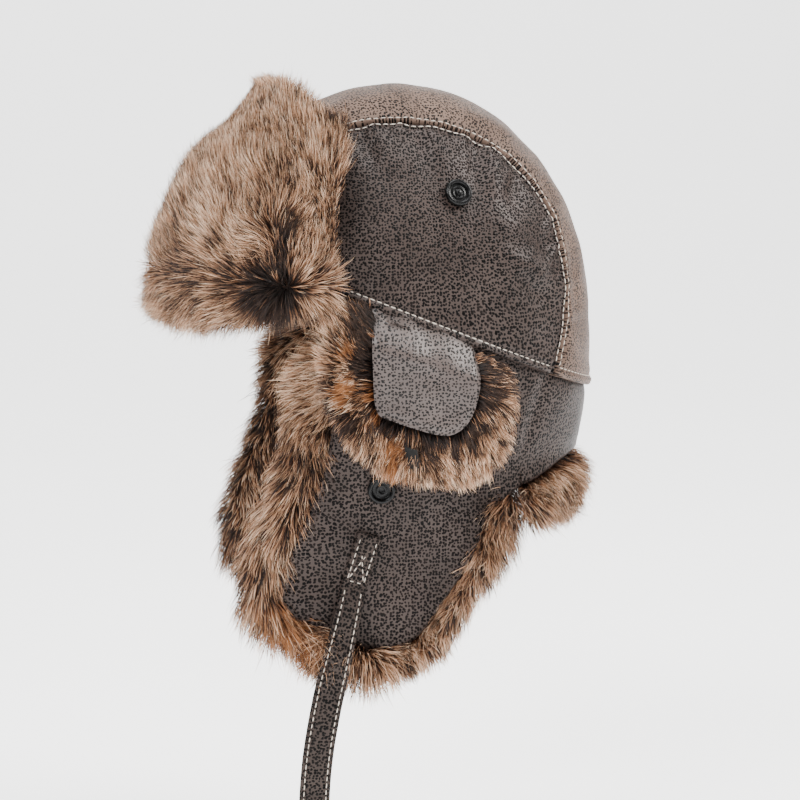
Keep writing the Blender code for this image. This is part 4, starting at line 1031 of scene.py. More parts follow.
nn = skirt_level_normal(base)
d_low = np.linalg.norm(base - base[:, -1:], axis=2)
cut = smoothstep((1 + s) * 12.0)
h = skirt_relief(base) * (1 - (1 - smoothstep(d_low / 12)))
h = h + 0.5 * bump(d_low, 3.0, 2.4) - 0.9 * bump(d_low, 0, 1.4)
outer = base + h[..., None] * nn
inner = base - (LEATHER + 2.4) * nn
verts = np.concatenate([outer.reshape(-1, 3), inner.reshape(-1, 3)])
faces = orient(verts, slab_faces(m, n))
uv = skirt_uv(verts)
for side, g in SIDES:
    ob = build("nape_leather_" + side, verts, faces, LEA, "leather", uv, mirror=g < 0, sharp=70)
    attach(ob, "crown")
    if g > 0:
        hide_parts("nape_shell", "nape_padding")
# centre-back seam of the nape, with a topstitch on each side
paths = []
for k in (-1, 1):
    z = np.linspace(-56.0, -84.0, 30)
    hx, hy, _d = skirt_axes(np.full(30, 105.0), z)
    q = np.stack([np.full(30, k * 2.6), hy + 0.35, z], -1)
    paths.append((q, np.tile([0.0, 1.0, 0.0], (30, 1))))
v, f = stitches(paths)
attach(build("stitches_nape", v, f, THREAD, "leather"), "crown")

# ------------------------------------------------------------------ visor leather
m, n = 190, 60
phi = np.linspace(-1, 1, m)[:, None] * np.ones((1, n))
t = clustered(n, 0.5)[None, :] * np.ones((m, 1))
top = 110.5 - 7.0 * phi * phi
z = 9.0 + (top - 9.0) * t
face_in = visor_corner(visor_point(phi, z, 0.0))
face_out = visor_corner(visor_point(phi, z, 3.5))
nv = unit(face_in - face_out)
dt = (1 - t) * 100
dside = (1 - np.abs(phi)) * 130
h = 0.35 * SOFT(face_in) + 0.2 * MID(face_in) - 0.9 * bump(dt, 0, 1.6) + 0.4 * bump(dt, 3, 2.0) - 0.9 * bump(dside, 0, 1.6)
h = h * smoothstep((z - 8) / 8) - 0.2
g_in = face_in + h[..., None] * nv
g_out = face_out + (0.9 * bump(dt, 0, 1.6) + 0.9 * bump(dside, 0, 1.6))[..., None] * nv
verts = np.concatenate([g_in.reshape(-1, 3), g_out.reshape(-1, 3)])
vuv = np.stack([phi.ravel() * 150, z.ravel() * 1.05], -1)
ob = build("visor_leather", verts, orient(verts, slab_faces(m, n)), LEA, "leather", np.concatenate([vuv, vuv]), sharp=70)
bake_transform(ob)
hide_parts("visor_shell", "visor_stiffener")
pts = g_in[:, ::-1][:, :, :]
row = line_at(g_in, nv, 1, 5.0, from_end=True, trim=4)
v, f = stitches([row])
ob = build("stitches_visor", v, f, THREAD, "leather")
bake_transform(ob)

# leather that carries on from the crown's front hem to the visor's fold
m = 150
phi = np.linspace(-0.985, 0.985, m)
prof = [(-7.4, 22.0), (-6.2, 15.0), (-4.4, 9.0), (-2.2, 5.6), (0.4, 5.2), (1.6, 8.4)]
prof = catmull(prof, 26)
tan = np.gradient(prof, axis=0)
pn = unit(np.stack([-tan[:, 1], tan[:, 0]], -1))
a_, b_ = prof + 0.7 * pn, prof - 0.7 * pn
lower = np.abs(phi) ** 3 * 1.5
ga = np.stack([visor_point(phi, np.full(m, zz), ee) + np.stack([0 * phi, 0 * phi, -lower], -1) for ee, zz in a_], 1)
gb = np.stack([visor_point(phi, np.full(m, zz), ee) + np.stack([0 * phi, 0 * phi, -lower], -1) for ee, zz in b_], 1)
verts = np.concatenate([ga.reshape(-1, 3), gb.reshape(-1, 3)])
fuv = np.stack([np.repeat(phi * 150, 26), np.tile(np.linspace(0, 26, 26), m)], -1) + [0, 400.0]
ob = build("visor_fold_leather", verts, orient(verts, slab_faces(m, 26)), LEA, "leather", np.concatenate([fuv, fuv]))
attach(ob, "crown")

# ------------------------------------------------------------------ ear-hole cover leather
def coons(left, right, topc, bottom, m, n):
    l, r = resample(left, n), resample(right, n)
    t_, b = resample(topc, m), resample(bottom, m)
    u = np.linspace(0, 1, m)[:, None, None]
    v = np.linspace(0, 1, n)[None, :, None]
    return ((1 - v) * t_[:, None] + v * b[:, None] + (1 - u) * l[None] + u * r[None]
            - (1 - u) * (1 - v) * t_[0] - u * (1 - v) * t_[-1] - (1 - u) * v * b[0] - u * v * b[-1])


pts = [(y, z if z is not None else float(hem_z(y)) + 3.0) for y, z in PATCH]
free = catmull(pts, 201)
i1, i2 = 70, 132
yt = np.linspace(pts[0][0], pts[-1][0], 40)
topc = np.stack([yt, hem_z(yt) + 3.0], -1)
yz = coons(free[:i1 + 1], free[i2:][::-1], topc, free[i1:i2 + 1], 74, 76)
y, z = yz[..., 0], yz[..., 1]
d = hem_z(y) - z
PATCH_LOOP = np.vstack([free, topc[::-1]])
tree = KDTree(len(free))
for k, q in enumerate(free):
    tree.insert((q[0], q[1], 0), k)
tree.balance()
de = np.array([tree.find((q[0], q[1], 0))[2] for q in yz.reshape(-1, 2)]).reshape(y.shape)
up = 1.0 + 11.6 * smoothstep((d + 2.0) / 22.0)
nn = skirt_normal(y, z)
p = np.stack([skirt_x(y, z), y, z], -1)
h = up - 1.1 * bump(de, 0, 1.6) + 0.35 * bump(de, 4, 3) + 0.5 * SOFT(p * 1.4) * smoothstep(de / 10) \
    + 0.35 * MID(p * 1.3) * smoothstep(de / 8) + 0.5 * bump(np.hypot(y - 2, z + 38), 0, 18)
outer = p + (h)[..., None] * nn
inner = outer - (1.5 + 0.0 * h)[..., None] * nn
verts = np.concatenate([outer.reshape(-1, 3), inner.reshape(-1, 3)])
faces = orient(verts, slab_faces(74, 76))
uv = np.tile(np.stack([y.ravel(), z.ravel() * 1.04], -1), (2, 1))
for side, g in SIDES:
    ob = build("cover_leather_" + side, verts, faces, LEA_COVER_PAINTED_LIGHT, "leather", uv, mirror=g < 0, sharp=70)
    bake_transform(ob)
    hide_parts("ear_cover_shell_" + side)

# ------------------------------------------------------------------ the small tab on the cover
m, n = 26, 12
tt = np.linspace(0, 1, m)[:, None]
ww = np.linspace(-1, 1, n)[None]
A, B = np.array([(-8.9, -69.5), (-2.6, -71.2)]), np.array([(-6.9, -84.5), (-0.8, -83.2)])
l = A[0] + (B[0] - A[0]) * tt
r = A[1] + (B[1] - A[1]) * tt
yz = l[:, None] * (1 - (ww[..., None] + 1) / 2) + r[:, None] * ((ww[..., None] + 1) / 2)
y, z = yz[..., 0], yz[..., 1]
p = np.stack([skirt_x(y, z), y, z], -1)
nn = skirt_normal(y, z)
rib = 0.08 * np.cos(ww * math.pi * 5)
up = 14.6 - 1.0 * tt + 1.0 * np.sin(tt * math.pi) + rib
edge = 0.55 * np.sqrt(np.maximum(0.0, 1 - np.abs(ww) ** 5)) * np.sqrt(np.maximum(0.0, 1 - np.abs(2 * tt - 1) ** 14)) + 0.03
outer, inner = p + (up + edge)[..., None] * nn, p + (up - edge)[..., None] * nn
verts = np.concatenate([outer.reshape(-1, 3), inner.reshape(-1, 3)])
faces = orient(verts, slab_faces(m, n))
uv = np.tile(yz.reshape(-1, 2), (2, 1))
for side, g in SIDES:
    ob = build("cover_tab_" + side, verts, faces, TAB_MAT, "tab_webbing", uv, mirror=g < 0)
    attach(ob, "ear_cover_" + side)
    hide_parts("ear_cover_tab_" + side)

# ------------------------------------------------------------------ snaps
sx = HALF_WIDTH
for _ in range(60):
    sx -= 0.5 * float(level(np.array([sx, *CROWN_SNAP]))) * HALF_WIDTH / DOME_EXP
snap_at = np.array([sx, *CROWN_SNAP])
snap_n = outward(snap_at)
STUD = [(0, 2.45), (0.9, 2.42), (1.35, 2.2), (1.55, 1.8), (1.60, 1.35), (1.95, 1.18), (2.6, 1.22), (2.9, 1.42), (3.2, 1.45),
        (3.5, 1.25), (4.6, 1.18), (5.0, 1.3), (5.2, 1.9), (5.45, 2.45), (5.85, 2.72), (6.45, 2.78), (6.95, 2.55),
        (7.3, 2.05), (7.42, 1.4), (7.42, 0.2), (7.0, -0.3), (0, -0.3)]
SOCKET = [(0, 1.0), (1.3, 1.0), (1.5, 1.15), (1.55, 1.75), (1.8, 1.95), (2.5, 2.0), (2.9, 1.9), (3.05, 1.5), (3.15, 1.05),
          (4.7, 1.0), (5.0, 1.2), (5.2, 1.9), (5.45, 2.45), (5.85, 2.72), (6.45, 2.78), (6.95, 2.55), (7.3, 2.05),
          (7.42, 1.4), (7.42, 0.2), (7.0, -0.3), (0, -0.3)]
POST = [(0, -9.6), (3.6, -9.55), (5.0, -9.2), (5.4, -8.7), (5.4, -8.2), (1.8, -8.2), (1.8, -0.6), (0, -0.6)]
v, f = lathe(STUD, snap_at, snap_n, 56)
v2, f2 = lathe(POST, snap_at, snap_n, 40)
vv, ff = weld([(v, f), (v2, f2)])
e_yz = np.array(FLAP_SNAP)
esx = float(skirt_x(*FLAP_SNAP))
ear_n = skirt_normal(*FLAP_SNAP)
ear_at = np.array([esx, *FLAP_SNAP]) + ear_n * 0.15
v3, f3 = lathe(SOCKET, ear_at, ear_n, 56)
for side, g in SIDES:
    ob = build("crown_snap_" + side, vv, ff, SNAP, "snap_black", mirror=g < 0, sharp=50)
    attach(ob, "crown")
    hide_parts("crown_snap_stud_" + side, "crown_snap_post_" + side)
    ob = build("ear_snap_" + side, v3, f3, SNAP, "snap_black", mirror=g < 0, sharp=50)
    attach(ob, "ear_flap_" + side)
    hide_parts("ear_snap_socket_" + side, "ear_snap_post_" + side)

# ------------------------------------------------------------------ chin straps
top, low = np.array(STRAP_TOP), np.array(STRAP_LOW)
dirn = (low - top) / np.linalg.norm(low - top)
base_x = float(skirt_x(low[0], low[1])) + 0.55
for side, g in SIDES:
    length = STRAP_LONG if g > 0 else STRAP_SHORT
    centre = catmull([(low[0], low[1], 0.0), (-38.0, -160.5, 4.2), (-42.5, -176.0, 8.6), (-50.0, -206.0, 10.4),
                      (-55.0, -235.0, 9.0), (-57.2, -262.0, 7.0), (-57.6, -292.0, 5.0), (-57.6, -330.0, 3.0)], 400)
    path = np.stack([base_x + centre[:, 2], centre[:, 0], centre[:, 1]], -1)
    run = np.concatenate([[0], np.cumsum(np.linalg.norm(np.diff(path, axis=0), axis=1))])
    sfree = np.linspace(0.0, length, 60 if g < 0 else 120)
    fpath = np.stack([np.interp(sfree, run, path[:, k]) for k in range(3)], -1)
    box_len = float(np.linalg.norm(low - top))
    sbox = np.linspace(-box_len, 0, 26)[:-1]
    byz = low + dirn * sbox[:, None]
    bpath = np.stack([skirt_x(byz[:, 0], byz[:, 1]) + 0.55, byz[:, 0], byz[:, 1]], -1)
    s_ = np.concatenate([sbox, sfree])
    path = np.vstack([bpath, fpath])
    # soften the join of the two stretches
    ker = np.ones(5) / 5
    for k in range(3):
        path[2:-2, k] = np.convolve(path[:, k], ker, mode="valid")
    tang = unit(np.gradient(path, axis=0))
    wvec = unit(np.stack([np.zeros(len(tang)), -tang[:, 2], tang[:, 1]], -1))
    nvec = unit(np.cross(wvec, tang))
    nvec = nvec * np.sign(nvec[:, :1])
    widths = STRAP_BOX_WIDTH + (STRAP_WIDTH - STRAP_BOX_WIDTH) * smoothstep(s_ / 60.0)
    tipk = np.sqrt(np.clip(1 - ((s_ - (length - 7.0)) / 7.4).clip(0, 1) ** 2, 0.03, 1))
    widths = widths * (0.40 + 0.60 * tipk)
    mm, nn_ = len(path), 23
    w = np.linspace(-1, 1, nn_)
    w = np.sign(w) * (1 - (1 - np.abs(w)) ** 1.35)
    off = w[None] * widths[:, None] / 2
    edge_d = widths[:, None] / 2 - np.abs(off)
    thick = 1.15 * np.sqrt(np.maximum(0.0, 1 - np.abs(w[None]) ** 9)) + 0.02
    thick = thick * (0.55 + 0.45 * smoothstep((length - s_[:, None]) / 3.0)) * (0.6 + 0.4 * smoothstep((s_[:, None] + box_len) / 1.5))
    rel = -0.28 * bump(edge_d, 2.3, 0.55) + 0.10 * bump(edge_d, 1.1, 0.7)
    rel = rel - 0.3 * bump(s_[:, None], 0.0, 0.8) * (edge_d > 1.5)
    quilt = 0.14 * MID(path * 1.3)[:, None] * np.ones_like(off)
    mid_o = path[:, None] + wvec[:, None] * off[..., None] + nvec[:, None] * 1.25
    outer = mid_o + nvec[:, None] * (thick + rel + quilt)[..., None]
    inner = mid_o - nvec[:, None] * (thick + 0.0)[..., None]
    verts = np.concatenate([outer.reshape(-1, 3), inner.reshape(-1, 3)])
    faces = orient(verts, slab_faces(mm, nn_))
    uv1 = np.stack([off.ravel(), np.broadcast_to(s_[:, None], off.shape).ravel()], -1)
    ob = build("chin_strap_leather_" + side, verts, faces, LEA_STRAP, "strap_leather", np.concatenate([uv1, uv1]),
               mirror=g < 0, sharp=60)
    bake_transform(ob)
    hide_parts("chin_strap_front_" + side, "chin_strap_backing_" + side, "chin_strap_sewn_end_" + side)

    def on_strap(sv, fr):
        """Point and normal on the strap's face at run sv and offset fr (mm)."""
        q = np.stack([np.interp(sv, s_, path[:, k]) for k in range(3)], -1)
        wv = np.stack([np.interp(sv, s_, wvec[:, k]) for k in range(3)], -1)
        nv_ = unit(np.stack([np.interp(sv, s_, nvec[:, k]) for k in range(3)], -1))
        return q + wv * np.asarray(fr)[..., None] + nv_ * 2.30, nv_

    rows = []
    su = np.linspace(3.0, length - 7.0, 160)
    wu = np.interp(su, s_, widths)
    for k in (-1, 1):
        rows.append(on_strap(su, k * (wu / 2 - 2.3)))
    b0, b1, hw = -box_len + 2.2, -1.6, STRAP_BOX_WIDTH / 2 - 2.2
    for (sa, fa), (sb, fb) in (((b0, -hw), (b1, -hw)), ((b0, hw), (b1, hw)), ((b0, -hw), (b0, hw)), ((b1, -hw), (b1, hw)),
                               ((b0, -hw), (b1, hw)), ((b0, hw), (b1, -hw))):
        rows.append(on_strap(np.linspace(sa, sb, 30), np.linspace(fa, fb, 30)))
    # round the tip
    th = np.linspace(-1.15, 1.15, 24)
    rows.append(on_strap(length - 7.0 + 4.2 * np.cos(th), 5.6 * np.sin(th) * 1.02))
    v, f = stitches(rows, length=2.9, pitch=3.9, width=0.62, height=0.52)
    ob = build("stitches_strap_" + side, v, f, THREAD, "strap_leather", mirror=g < 0)
    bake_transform(ob)
    k = int(np.searchsorted(s_, length - 14.0))
    sat, snn = path[k], nvec[k]
    CAP = [(0, 4.3), (2.2, 4.25), (4.2, 4.0), (5.4, 3.6), (5.95, 3.1), (6.0, 2.5), (0, 2.3)]
    SOCK = [(0, -0.55), (1.6, -0.55), (1.75, -1.1), (2.6, -1.3), (3.2, -1.15), (3.4, -0.7), (4.4, -0.7), (4.8, -1.3),
            (5.3, -1.35), (5.6, -1.0), (5.6, 0.2), (0, 0.3)]
    va, fa = lathe(CAP, sat, snn, 48)
    vb, fb = lathe(SOCK, sat, snn, 48)
    vv, ff = weld([(va, fa), (vb, fb)])
    ob = build("strap_snap_" + side, vv, ff, SNAP, "snap_black", mirror=g < 0, sharp=50)
    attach(ob, "chin_strap_" + side)
    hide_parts("strap_snap_cap_" + side, "strap_snap_socket_" + side)


# ------------------------------------------------------------------ fur
def cad_surface(node):
    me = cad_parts[node].data
    co = np.empty(len(me.vertices) * 3, np.float32)
    me.vertices.foreach_get("co", co)
    me.calc_loop_triangles()
    tri = np.empty(len(me.loop_triangles) * 3, np.int32)
    me.loop_triangles.foreach_get("vertices", tri)
    v = co.reshape(-1, 3).astype(float) * 1000.0
    key, inv = np.unique(np.round(v, 2), axis=0, return_inverse=True)
    tri = inv.reshape(-1)[tri].reshape(-1, 3)
    ok = (tri[:, 0] != tri[:, 1]) & (tri[:, 1] != tri[:, 2]) & (tri[:, 0] != tri[:, 2])
    return key, tri[ok]


def vertex_normals(v, tri):
    fn = np.cross(v[tri[:, 1]] - v[tri[:, 0]], v[tri[:, 2]] - v[tri[:, 0]])
    out = np.zeros_like(v)
    for k in range(3):
        np.add.at(out, tri[:, k], fn)
    return unit(out)


def undercoat(name, node, most, share, levels=2, rough=0.8, dent=None, keep=None):
    """Skin under the pile: the CAD body drawn in by up to `most` mm and roughened."""
    v, tri = cad_surface(node)
    me = bpy.data.meshes.new(name + "_tmp")
    me.from_pydata([tuple(q) for q in v], [], [tuple(int(i) for i in q) for q in tri])
    ob = bpy.data.objects.new(name + "_tmp", me)
    bpy.context.scene.collection.objects.link(ob)
    mod = ob.modifiers.new("s", "SUBSURF")
    mod.levels = mod.render_levels = levels
    bpy.context.view_layer.update()
    ev = ob.evaluated_get(bpy.context.evaluated_depsgraph_get())
    em = ev.to_mesh()
    co = np.empty(len(em.vertices) * 3, np.float32)
    em.vertices.foreach_get("co", co)
    em.calc_loop_triangles()
    t2 = np.empty(len(em.loop_triangles) * 3, np.int32)
    em.loop_triangles.foreach_get("vertices", t2)
    ev.to_mesh_clear()
    bpy.data.objects.remove(ob)
    p, t2 = co.reshape(-1, 3).astype(float), t2.reshape(-1, 3)
    nn = vertex_normals(p, t2)
    bvh = BVHTree.FromPolygons([tuple(q) for q in p], [tuple(int(i) for i in q) for q in t2])
    thick = np.empty(len(p))
    for i in range(len(p)):
        hit = bvh.ray_cast(Vector(p[i] - nn[i] * 0.05), Vector(-nn[i]))
        thick[i] = hit[3] if hit[0] is not None else 30.0
    draw = np.minimum(most, share * thick)
    if dent is not None:
        draw = np.minimum(draw + dent(p), 0.42 * thick)
    # even out the drawing-in over neighbours
    for _ in range(3):
        acc, cnt = np.zeros(len(p)), np.zeros(len(p))
        for a in range(3):
            for b in range(3):
                np.add.at(acc, t2[:, a], draw[t2[:, b]])
                np.add.at(cnt, t2[:, a], 1.0)
        draw = np.minimum(draw, acc / cnt)
    q = p - nn * draw[:, None]
    q = q + nn * (rough * (0.6 * Waves(41, 9.0)(p) + 0.4 * Waves(43, 4.5)(p)) * np.clip(draw / most, 0.15, 1))[:, None]
    if keep is not None:
        c = q[t2].mean(axis=1)
        t2 = t2[keep(c)]
        used = np.unique(t2)
        remap = np.full(len(q), -1)
        remap[used] = np.arange(len(used))
        q, nn, t2, p, draw = q[used], nn[used], remap[t2], p[used], draw[used]
    return q, nn, t2, draw


def scatter(skin, count, rng, weight=None):
    q, nn, t2, draw = skin
    a, b, c = q[t2[:, 0]], q[t2[:, 1]], q[t2[:, 2]]
    area = np.linalg.norm(np.cross(b - a, c - a), axis=1)
    if weight is not None:
        area = area * weight((a + b + c) / 3, unit(nn[t2].mean(axis=1)))
    pick = np.searchsorted(np.cumsum(area) / area.sum(), rng.random(count))
    r1, r2 = np.sqrt(rng.random(count)), rng.random(count)
    w = np.stack([1 - r1, r1 * (1 - r2), r1 * r2], -1)[..., None]
    pts = (q[t2[pick]] * w).sum(axis=1)
    nrm = unit((nn[t2[pick]] * w).sum(axis=1))
    deep = (draw[t2[pick]] * w[..., 0]).sum(axis=1)
    return pts, nrm, deep


FLOWX, FLOWY, FLOWZ = Waves(61, 38.0), Waves(62, 38.0), Waves(63, 38.0)
TONE = Waves(71, 30.0, stretch=(1, 1, 2.4))
STREAK = Waves(72, 11.0, stretch=(1, 1, 3.5))


def strands(name, skin, count, seed, flow, length, tone, body, side_g=1.0, weight=None, lean=0.62, lift=0.72, width=0.36,
            clump=0.44, per_clump=6, droop=0.12, press=0.18, slot_name="fur"):
    rng = np.random.default_rng(seed)
    pts, nrm, deep = scatter(skin, count, rng, weight)
    f = flow(pts, nrm)
    f = f + 0.30 * np.stack([FLOWX(pts), FLOWY(pts), FLOWZ(pts)], -1)
    f = f - nrm * np.sum(f * nrm, axis=1, keepdims=True)
    f = unit(f)
    ln = length(pts, nrm) * rng.uniform(0.72, 1.15, count) * np.where(rng.random(count) < 0.06, 1.22, 1.0)
    jit = rng.normal(size=(count, 3)) * 0.20
    d0 = unit(nrm * lift * rng.uniform(0.75, 1.25, (count, 1)) + f * lean + jit)
    bend = f * 0.62 - nrm * press + np.array([0, 0, -droop]) + rng.normal(size=(count, 3)) * 0.16
    ts = np.array([0.0, 0.28, 0.55, 0.80, 1.0])
    pos = pts[:, None] + ln[:, None, None] * (d0[:, None] * (ts * (1 - 0.28 * ts))[None, :, None]
                                              + bend[:, None] * (0.42 * ts ** 2)[None, :, None])
    kn = max(4, count // per_clump)
    centre = rng.choice(count, kn, replace=False)
    tree = KDTree(kn)
    for i, c in enumerate(centre):
        tree.insert(pts[c], i)
    tree.balance()
    near = np.array([centre[tree.find(q)[1]] for q in pts])
    pull = (clump * rng.uniform(0.45, 1.2, count))[:, None] * (ts ** 1.25)[None]
    pull = np.clip(pull, 0, 0.92)
    # clump members keep their own root but share the centre's tip
    pos = pos + (pos[near] - pos) * pull[..., None]
    pos[..., 1] = np.clip(pos[..., 1], -148.5, 124.0)
    pos[..., 0] = np.minimum(pos[..., 0], 113.0)
    pos[..., 2] = np.minimum(pos[..., 2], 134.0)
    drn = unit(np.gradient(pos, axis=1))
    wv = unit(np.cross(drn, nrm[:, None]))
    tw = rng.uniform(-0.9, 0.9, count)[:, None, None]
    wv = unit(wv * np.cos(tw) + np.cross(drn, wv) * np.sin(tw))
    ww = width * rng.uniform(0.7, 1.35, count)[:, None] * np.array([1.0, 1.0, 0.80, 0.46])[None]
    left = pos[:, :4] - wv[:, :4] * ww[..., None] / 2
    right = pos[:, :4] + wv[:, :4] * ww[..., None] / 2
    verts = np.concatenate([np.stack([left, right], 2).reshape(count, 8, 3), pos[:, 4:5]], 1).reshape(-1, 3)
    k = np.arange(count)[:, None] * 9
    quad = np.array([[0, 1, 3, 2], [2, 3, 5, 4], [4, 5, 7, 6]])
    quads = (k[:, :, None] + quad[None]).reshape(-1, 4)
    tris = (k[:, :, None] + np.array([[6, 7, 8]])[None]).reshape(-1, 3)
    u = tone(pts, nrm) + 0.065 * TONE(pts) + 0.115 * STREAK(pts)
    # dark guard hairs and pale ones stand among the tan pile, some of them in whole tufts
    of_tuft = np.searchsorted(np.sort(centre), near)
    u = u + 0.205 * rng.normal(size=kn)[of_tuft] + 0.115 * rng.normal(size=count)
    u = u - 0.36 * (rng.random(kn) < 0.15)[of_tuft] - 0.36 * (rng.random(count) < 0.12)
    rust = u > 1.5
    u = np.where(rust, 0.94, np.clip(u, 0.03, 0.84))
    vt = np.array([0, 0, .28, .28, .55, .55, .80, .80, 1.0])
    vt = np.clip(vt[None] * rng.uniform(0.88, 1.06, count)[:, None], 0.01, 0.99)
    uv = np.stack([np.repeat(u, 9), vt.ravel()], -1)
    ob = build(name, verts, [quads, tris], FUR, slot_name, uv, mirror=side_g < 0, uv_name="OFBake")
    return ob


def skin_object(name, skin, side_g=1.0):
    q, nn, t2, draw = skin
    return build(name, q, [t2], UNDER, "fur", mirror=side_g < 0)


def inside(poly, yz):
    """Even-odd test of many points against one outline."""
    x, y = yz[:, 0][:, None], yz[:, 1][:, None]
    a, b = poly[None, :, :], np.roll(poly, -1, axis=0)[None, :, :]
    cond = (a[..., 1] > y) != (b[..., 1] > y)
    with np.errstate(divide="ignore", invalid="ignore"):
        xs = (b[..., 0] - a[..., 0]) * (y - a[..., 1]) / (b[..., 1] - a[..., 1]) + a[..., 0]
    return (np.sum(cond & (x < xs), axis=1) % 2) == 1


QUICK = 1.0
DOWN = np.array([0.0, 0.0, -1.0])


# ---- ear flaps
ear_skin = undercoat("ear", "ear_fur_left", 5.5, 0.34, levels=2)


def ear_weight(c, n):
    covered = inside(EAR_LOOP - 1.0 * outline_normals(EAR_LOOP), c[:, 1:]) & (c[:, 0] > skirt_x(c[:, 1], c[:, 2]) - 13.5) \
        & (n[:, 0] > -0.45)
    hole = np.hypot((c[:, 1] - HOLE_C[0]) / (HOLE_R[0] + 3.0), (c[:, 2] - HOLE_C[1]) / (HOLE_R[1] + 3.0)) < 1
    inner = (n[:, 0] < -0.45)
    w = np.where(inner, 0.42, 1.0)
    w = w * (1.0 + 0.8 * ear_front(c))
    return np.where(covered | hole, 0.0, w)


def ear_front(p):
    """1 at the top of the front border, where the pile meets the visor's corner."""
    return smoothstep((-26.0 - p[:, 1]) / 12.0) * smoothstep((p[:, 2] + 72.0) / 46.0)


def ear_flow(p, n):
    r = unit(np.stack([np.zeros(len(p)), p[:, 1] + 8.0, p[:, 2] + 70.0], -1))
    k = np.clip(np.sum(n * r, axis=1) + 0.30, -0.45, 0.95)[:, None]
    g = r * k * 1.0 + DOWN * 0.85
    g = np.where((n[:, 0] < -0.55)[:, None], np.array([[0.0, 0.1, -1.0]]), g)
    return g + ear_front(p)[:, None] * np.array([[0.0, -1.1, 0.75]])


def ear_length(p, n):
    ln = np.full(len(p), 19.0)
    ln = np.where(p[:, 1] > -15, 16.0, ln)
    ln = np.where((p[:, 1] > 34) & (p[:, 2] < -84), 21.0, ln)
    ln = ln + 6.0 * smoothstep((p[:, 1] - 38.0) / 12.0) * smoothstep((-86.0 - p[:, 2]) / 10.0)
    ln = np.where((p[:, 1] < -22) & (p[:, 2] < -146), 26.0, ln)
    ln = np.where(n[:, 0] < -0.45, 12.0, ln)
    near_hem = smoothstep((hem_z(p[:, 1]) - p[:, 2] - 6.0) / 34.0)
    front = ear_front(p) * (n[:, 0] > -0.6)
    return ln * np.maximum(0.45 + 0.55 * near_hem, 1.25 * front)


RUST = Waves(77, 17.0)


def ear_tone(p, n):
    lobe = np.cos((p[:, 2] + 0.45 * p[:, 1]) / 13.0 + 2.2 * np.sin(p[:, 2] / 47.0))
    # Painted light: the pile on the inner side and at the front top, in the shade of the hat's inside and of the visor,
    # is lightened.
    u = np.full(len(p), 0.41) + 0.06 * (n[:, 0] < -0.4) + 0.05 * lobe + 0.09 * ear_front(p)
    curl = (p[:, 1] > -88) & (p[:, 1] < -38) & (p[:, 2] < -150) & (n[:, 0] > -0.2)
    return np.where(curl & (RUST(p) > 0.45), 2.0, u)


for side, g in SIDES:
    k = 0 if g > 0 else 500
    for part, seed, count in (("a", 11, 26000), ("b", 12, 13000)):
        ob = strands("ear_fur_%s_%s" % (side, part), ear_skin, int(count * QUICK), seed + k, ear_flow, ear_length, ear_tone,
                     None, side_g=g, weight=ear_weight)
        fold_blend(ob)
        if part == "a":
            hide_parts("ear_fur_" + side)
    ob = skin_object("ear_undercoat_" + side, ear_skin, g)
    fold_blend(ob)

# ---- ear-hole covers
cover_skin = undercoat("cover", "ear_cover_fur_left", 3.4, 0.30, levels=2, rough=0.5)
PATCH_IN = PATCH_LOOP - 2.0 * outline_normals(PATCH_LOOP)


def cover_weight(c, n):
    covered = inside(PATCH_IN, c[:, 1:]) & (n[:, 0] > -0.2)
    under = n[:, 0] < -0.30
    high = (hem_z(c[:, 1]) - c[:, 2]) < 3.0
    return np.where(covered | under | high, 0.0, 1.0)


def patch_distance(p):
    d = np.linalg.norm(p[:, None, 1:] - PATCH_LOOP[None, ::4], axis=2).min(axis=1)
    return d


def cover_flow(p, n):
    r = unit(np.stack([0.2 * np.ones(len(p)), p[:, 1] - 2.0, (p[:, 2] + 38.0) * 0.9], -1))
    top = smoothstep((p[:, 2] + 34.0) / 20.0) * smoothstep((-14.0 - p[:, 1]) / 10.0)
    return r * 0.9 + DOWN * 0.40 + top[:, None] * np.array([[0.0, 0.0, 1.3]])


def cover_length(p, n):
    d = hem_z(p[:, 1]) - p[:, 2]
    front = smoothstep((-14.0 - p[:, 1]) / 10.0)
    return 14.5 * np.maximum(0.55 + 0.45 * smoothstep((d - 2) / 22.0), front)


def cover_tone(p, n):
    d = patch_distance(p)
    # Painted shade: the pile is darker close to the leather patch, in the valley beside its edge, and lighter further
    # out.
    u = 0.13 + 0.33 * smoothstep((d - 4.0) / 15.0)
    left = (p[:, 1] < -20) & (p[:, 1] > -41) & (p[:, 2] < -14) & (p[:, 2] > -62) & (d < 15)
    low = (p[:, 1] < -6) & (p[:, 1] > -24) & (p[:, 2] < -62) & (p[:, 2] > -80)
    return np.where((left | low) & (RUST(p * 0.9) > 0.15), 2.0, u)


for side, g in SIDES:
    ob = strands("cover_fur_" + side, cover_skin, int(17000 * QUICK), 31 + (0 if g > 0 else 500), cover_flow, cover_length,
                 cover_tone, None, side_g=g, weight=cover_weight, width=0.42, lift=0.62, clump=0.55, per_clump=13)
    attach(ob, "ear_cover_" + side)
    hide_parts("ear_cover_fur_" + side)
    ob = skin_object("cover_undercoat_" + side, cover_skin, g)
    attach(ob, "ear_cover_" + side)

# ---- nape
nape_skin = undercoat("nape", "nape_fur", 5.0, 0.34, levels=2, keep=lambda c: c[:, 0] > -0.4)


def nape_weight(c, n):
    radial = unit(np.stack([c[:, 0], c[:, 1], np.zeros(len(c))], -1))
    out = np.sum(radial * n, axis=1)
    covered = (c[:, 2] > nape_low(c[:, 1]) + 0.5) & (out > -0.4)
    return np.where(covered, 0.0, np.where(out < -0.45, 0.5, 1.0))


def nape_flow(p, n):
    r = unit(np.stack([p[:, 0], p[:, 1], np.zeros(len(p))], -1))
    return r * 0.62 + DOWN * 0.9


def nape_length(p, n):
    r = unit(np.stack([p[:, 0], p[:, 1], np.zeros(len(p))], -1))
    return np.where(np.sum(r * n, axis=1) < -0.45, 12.0, 21.0)


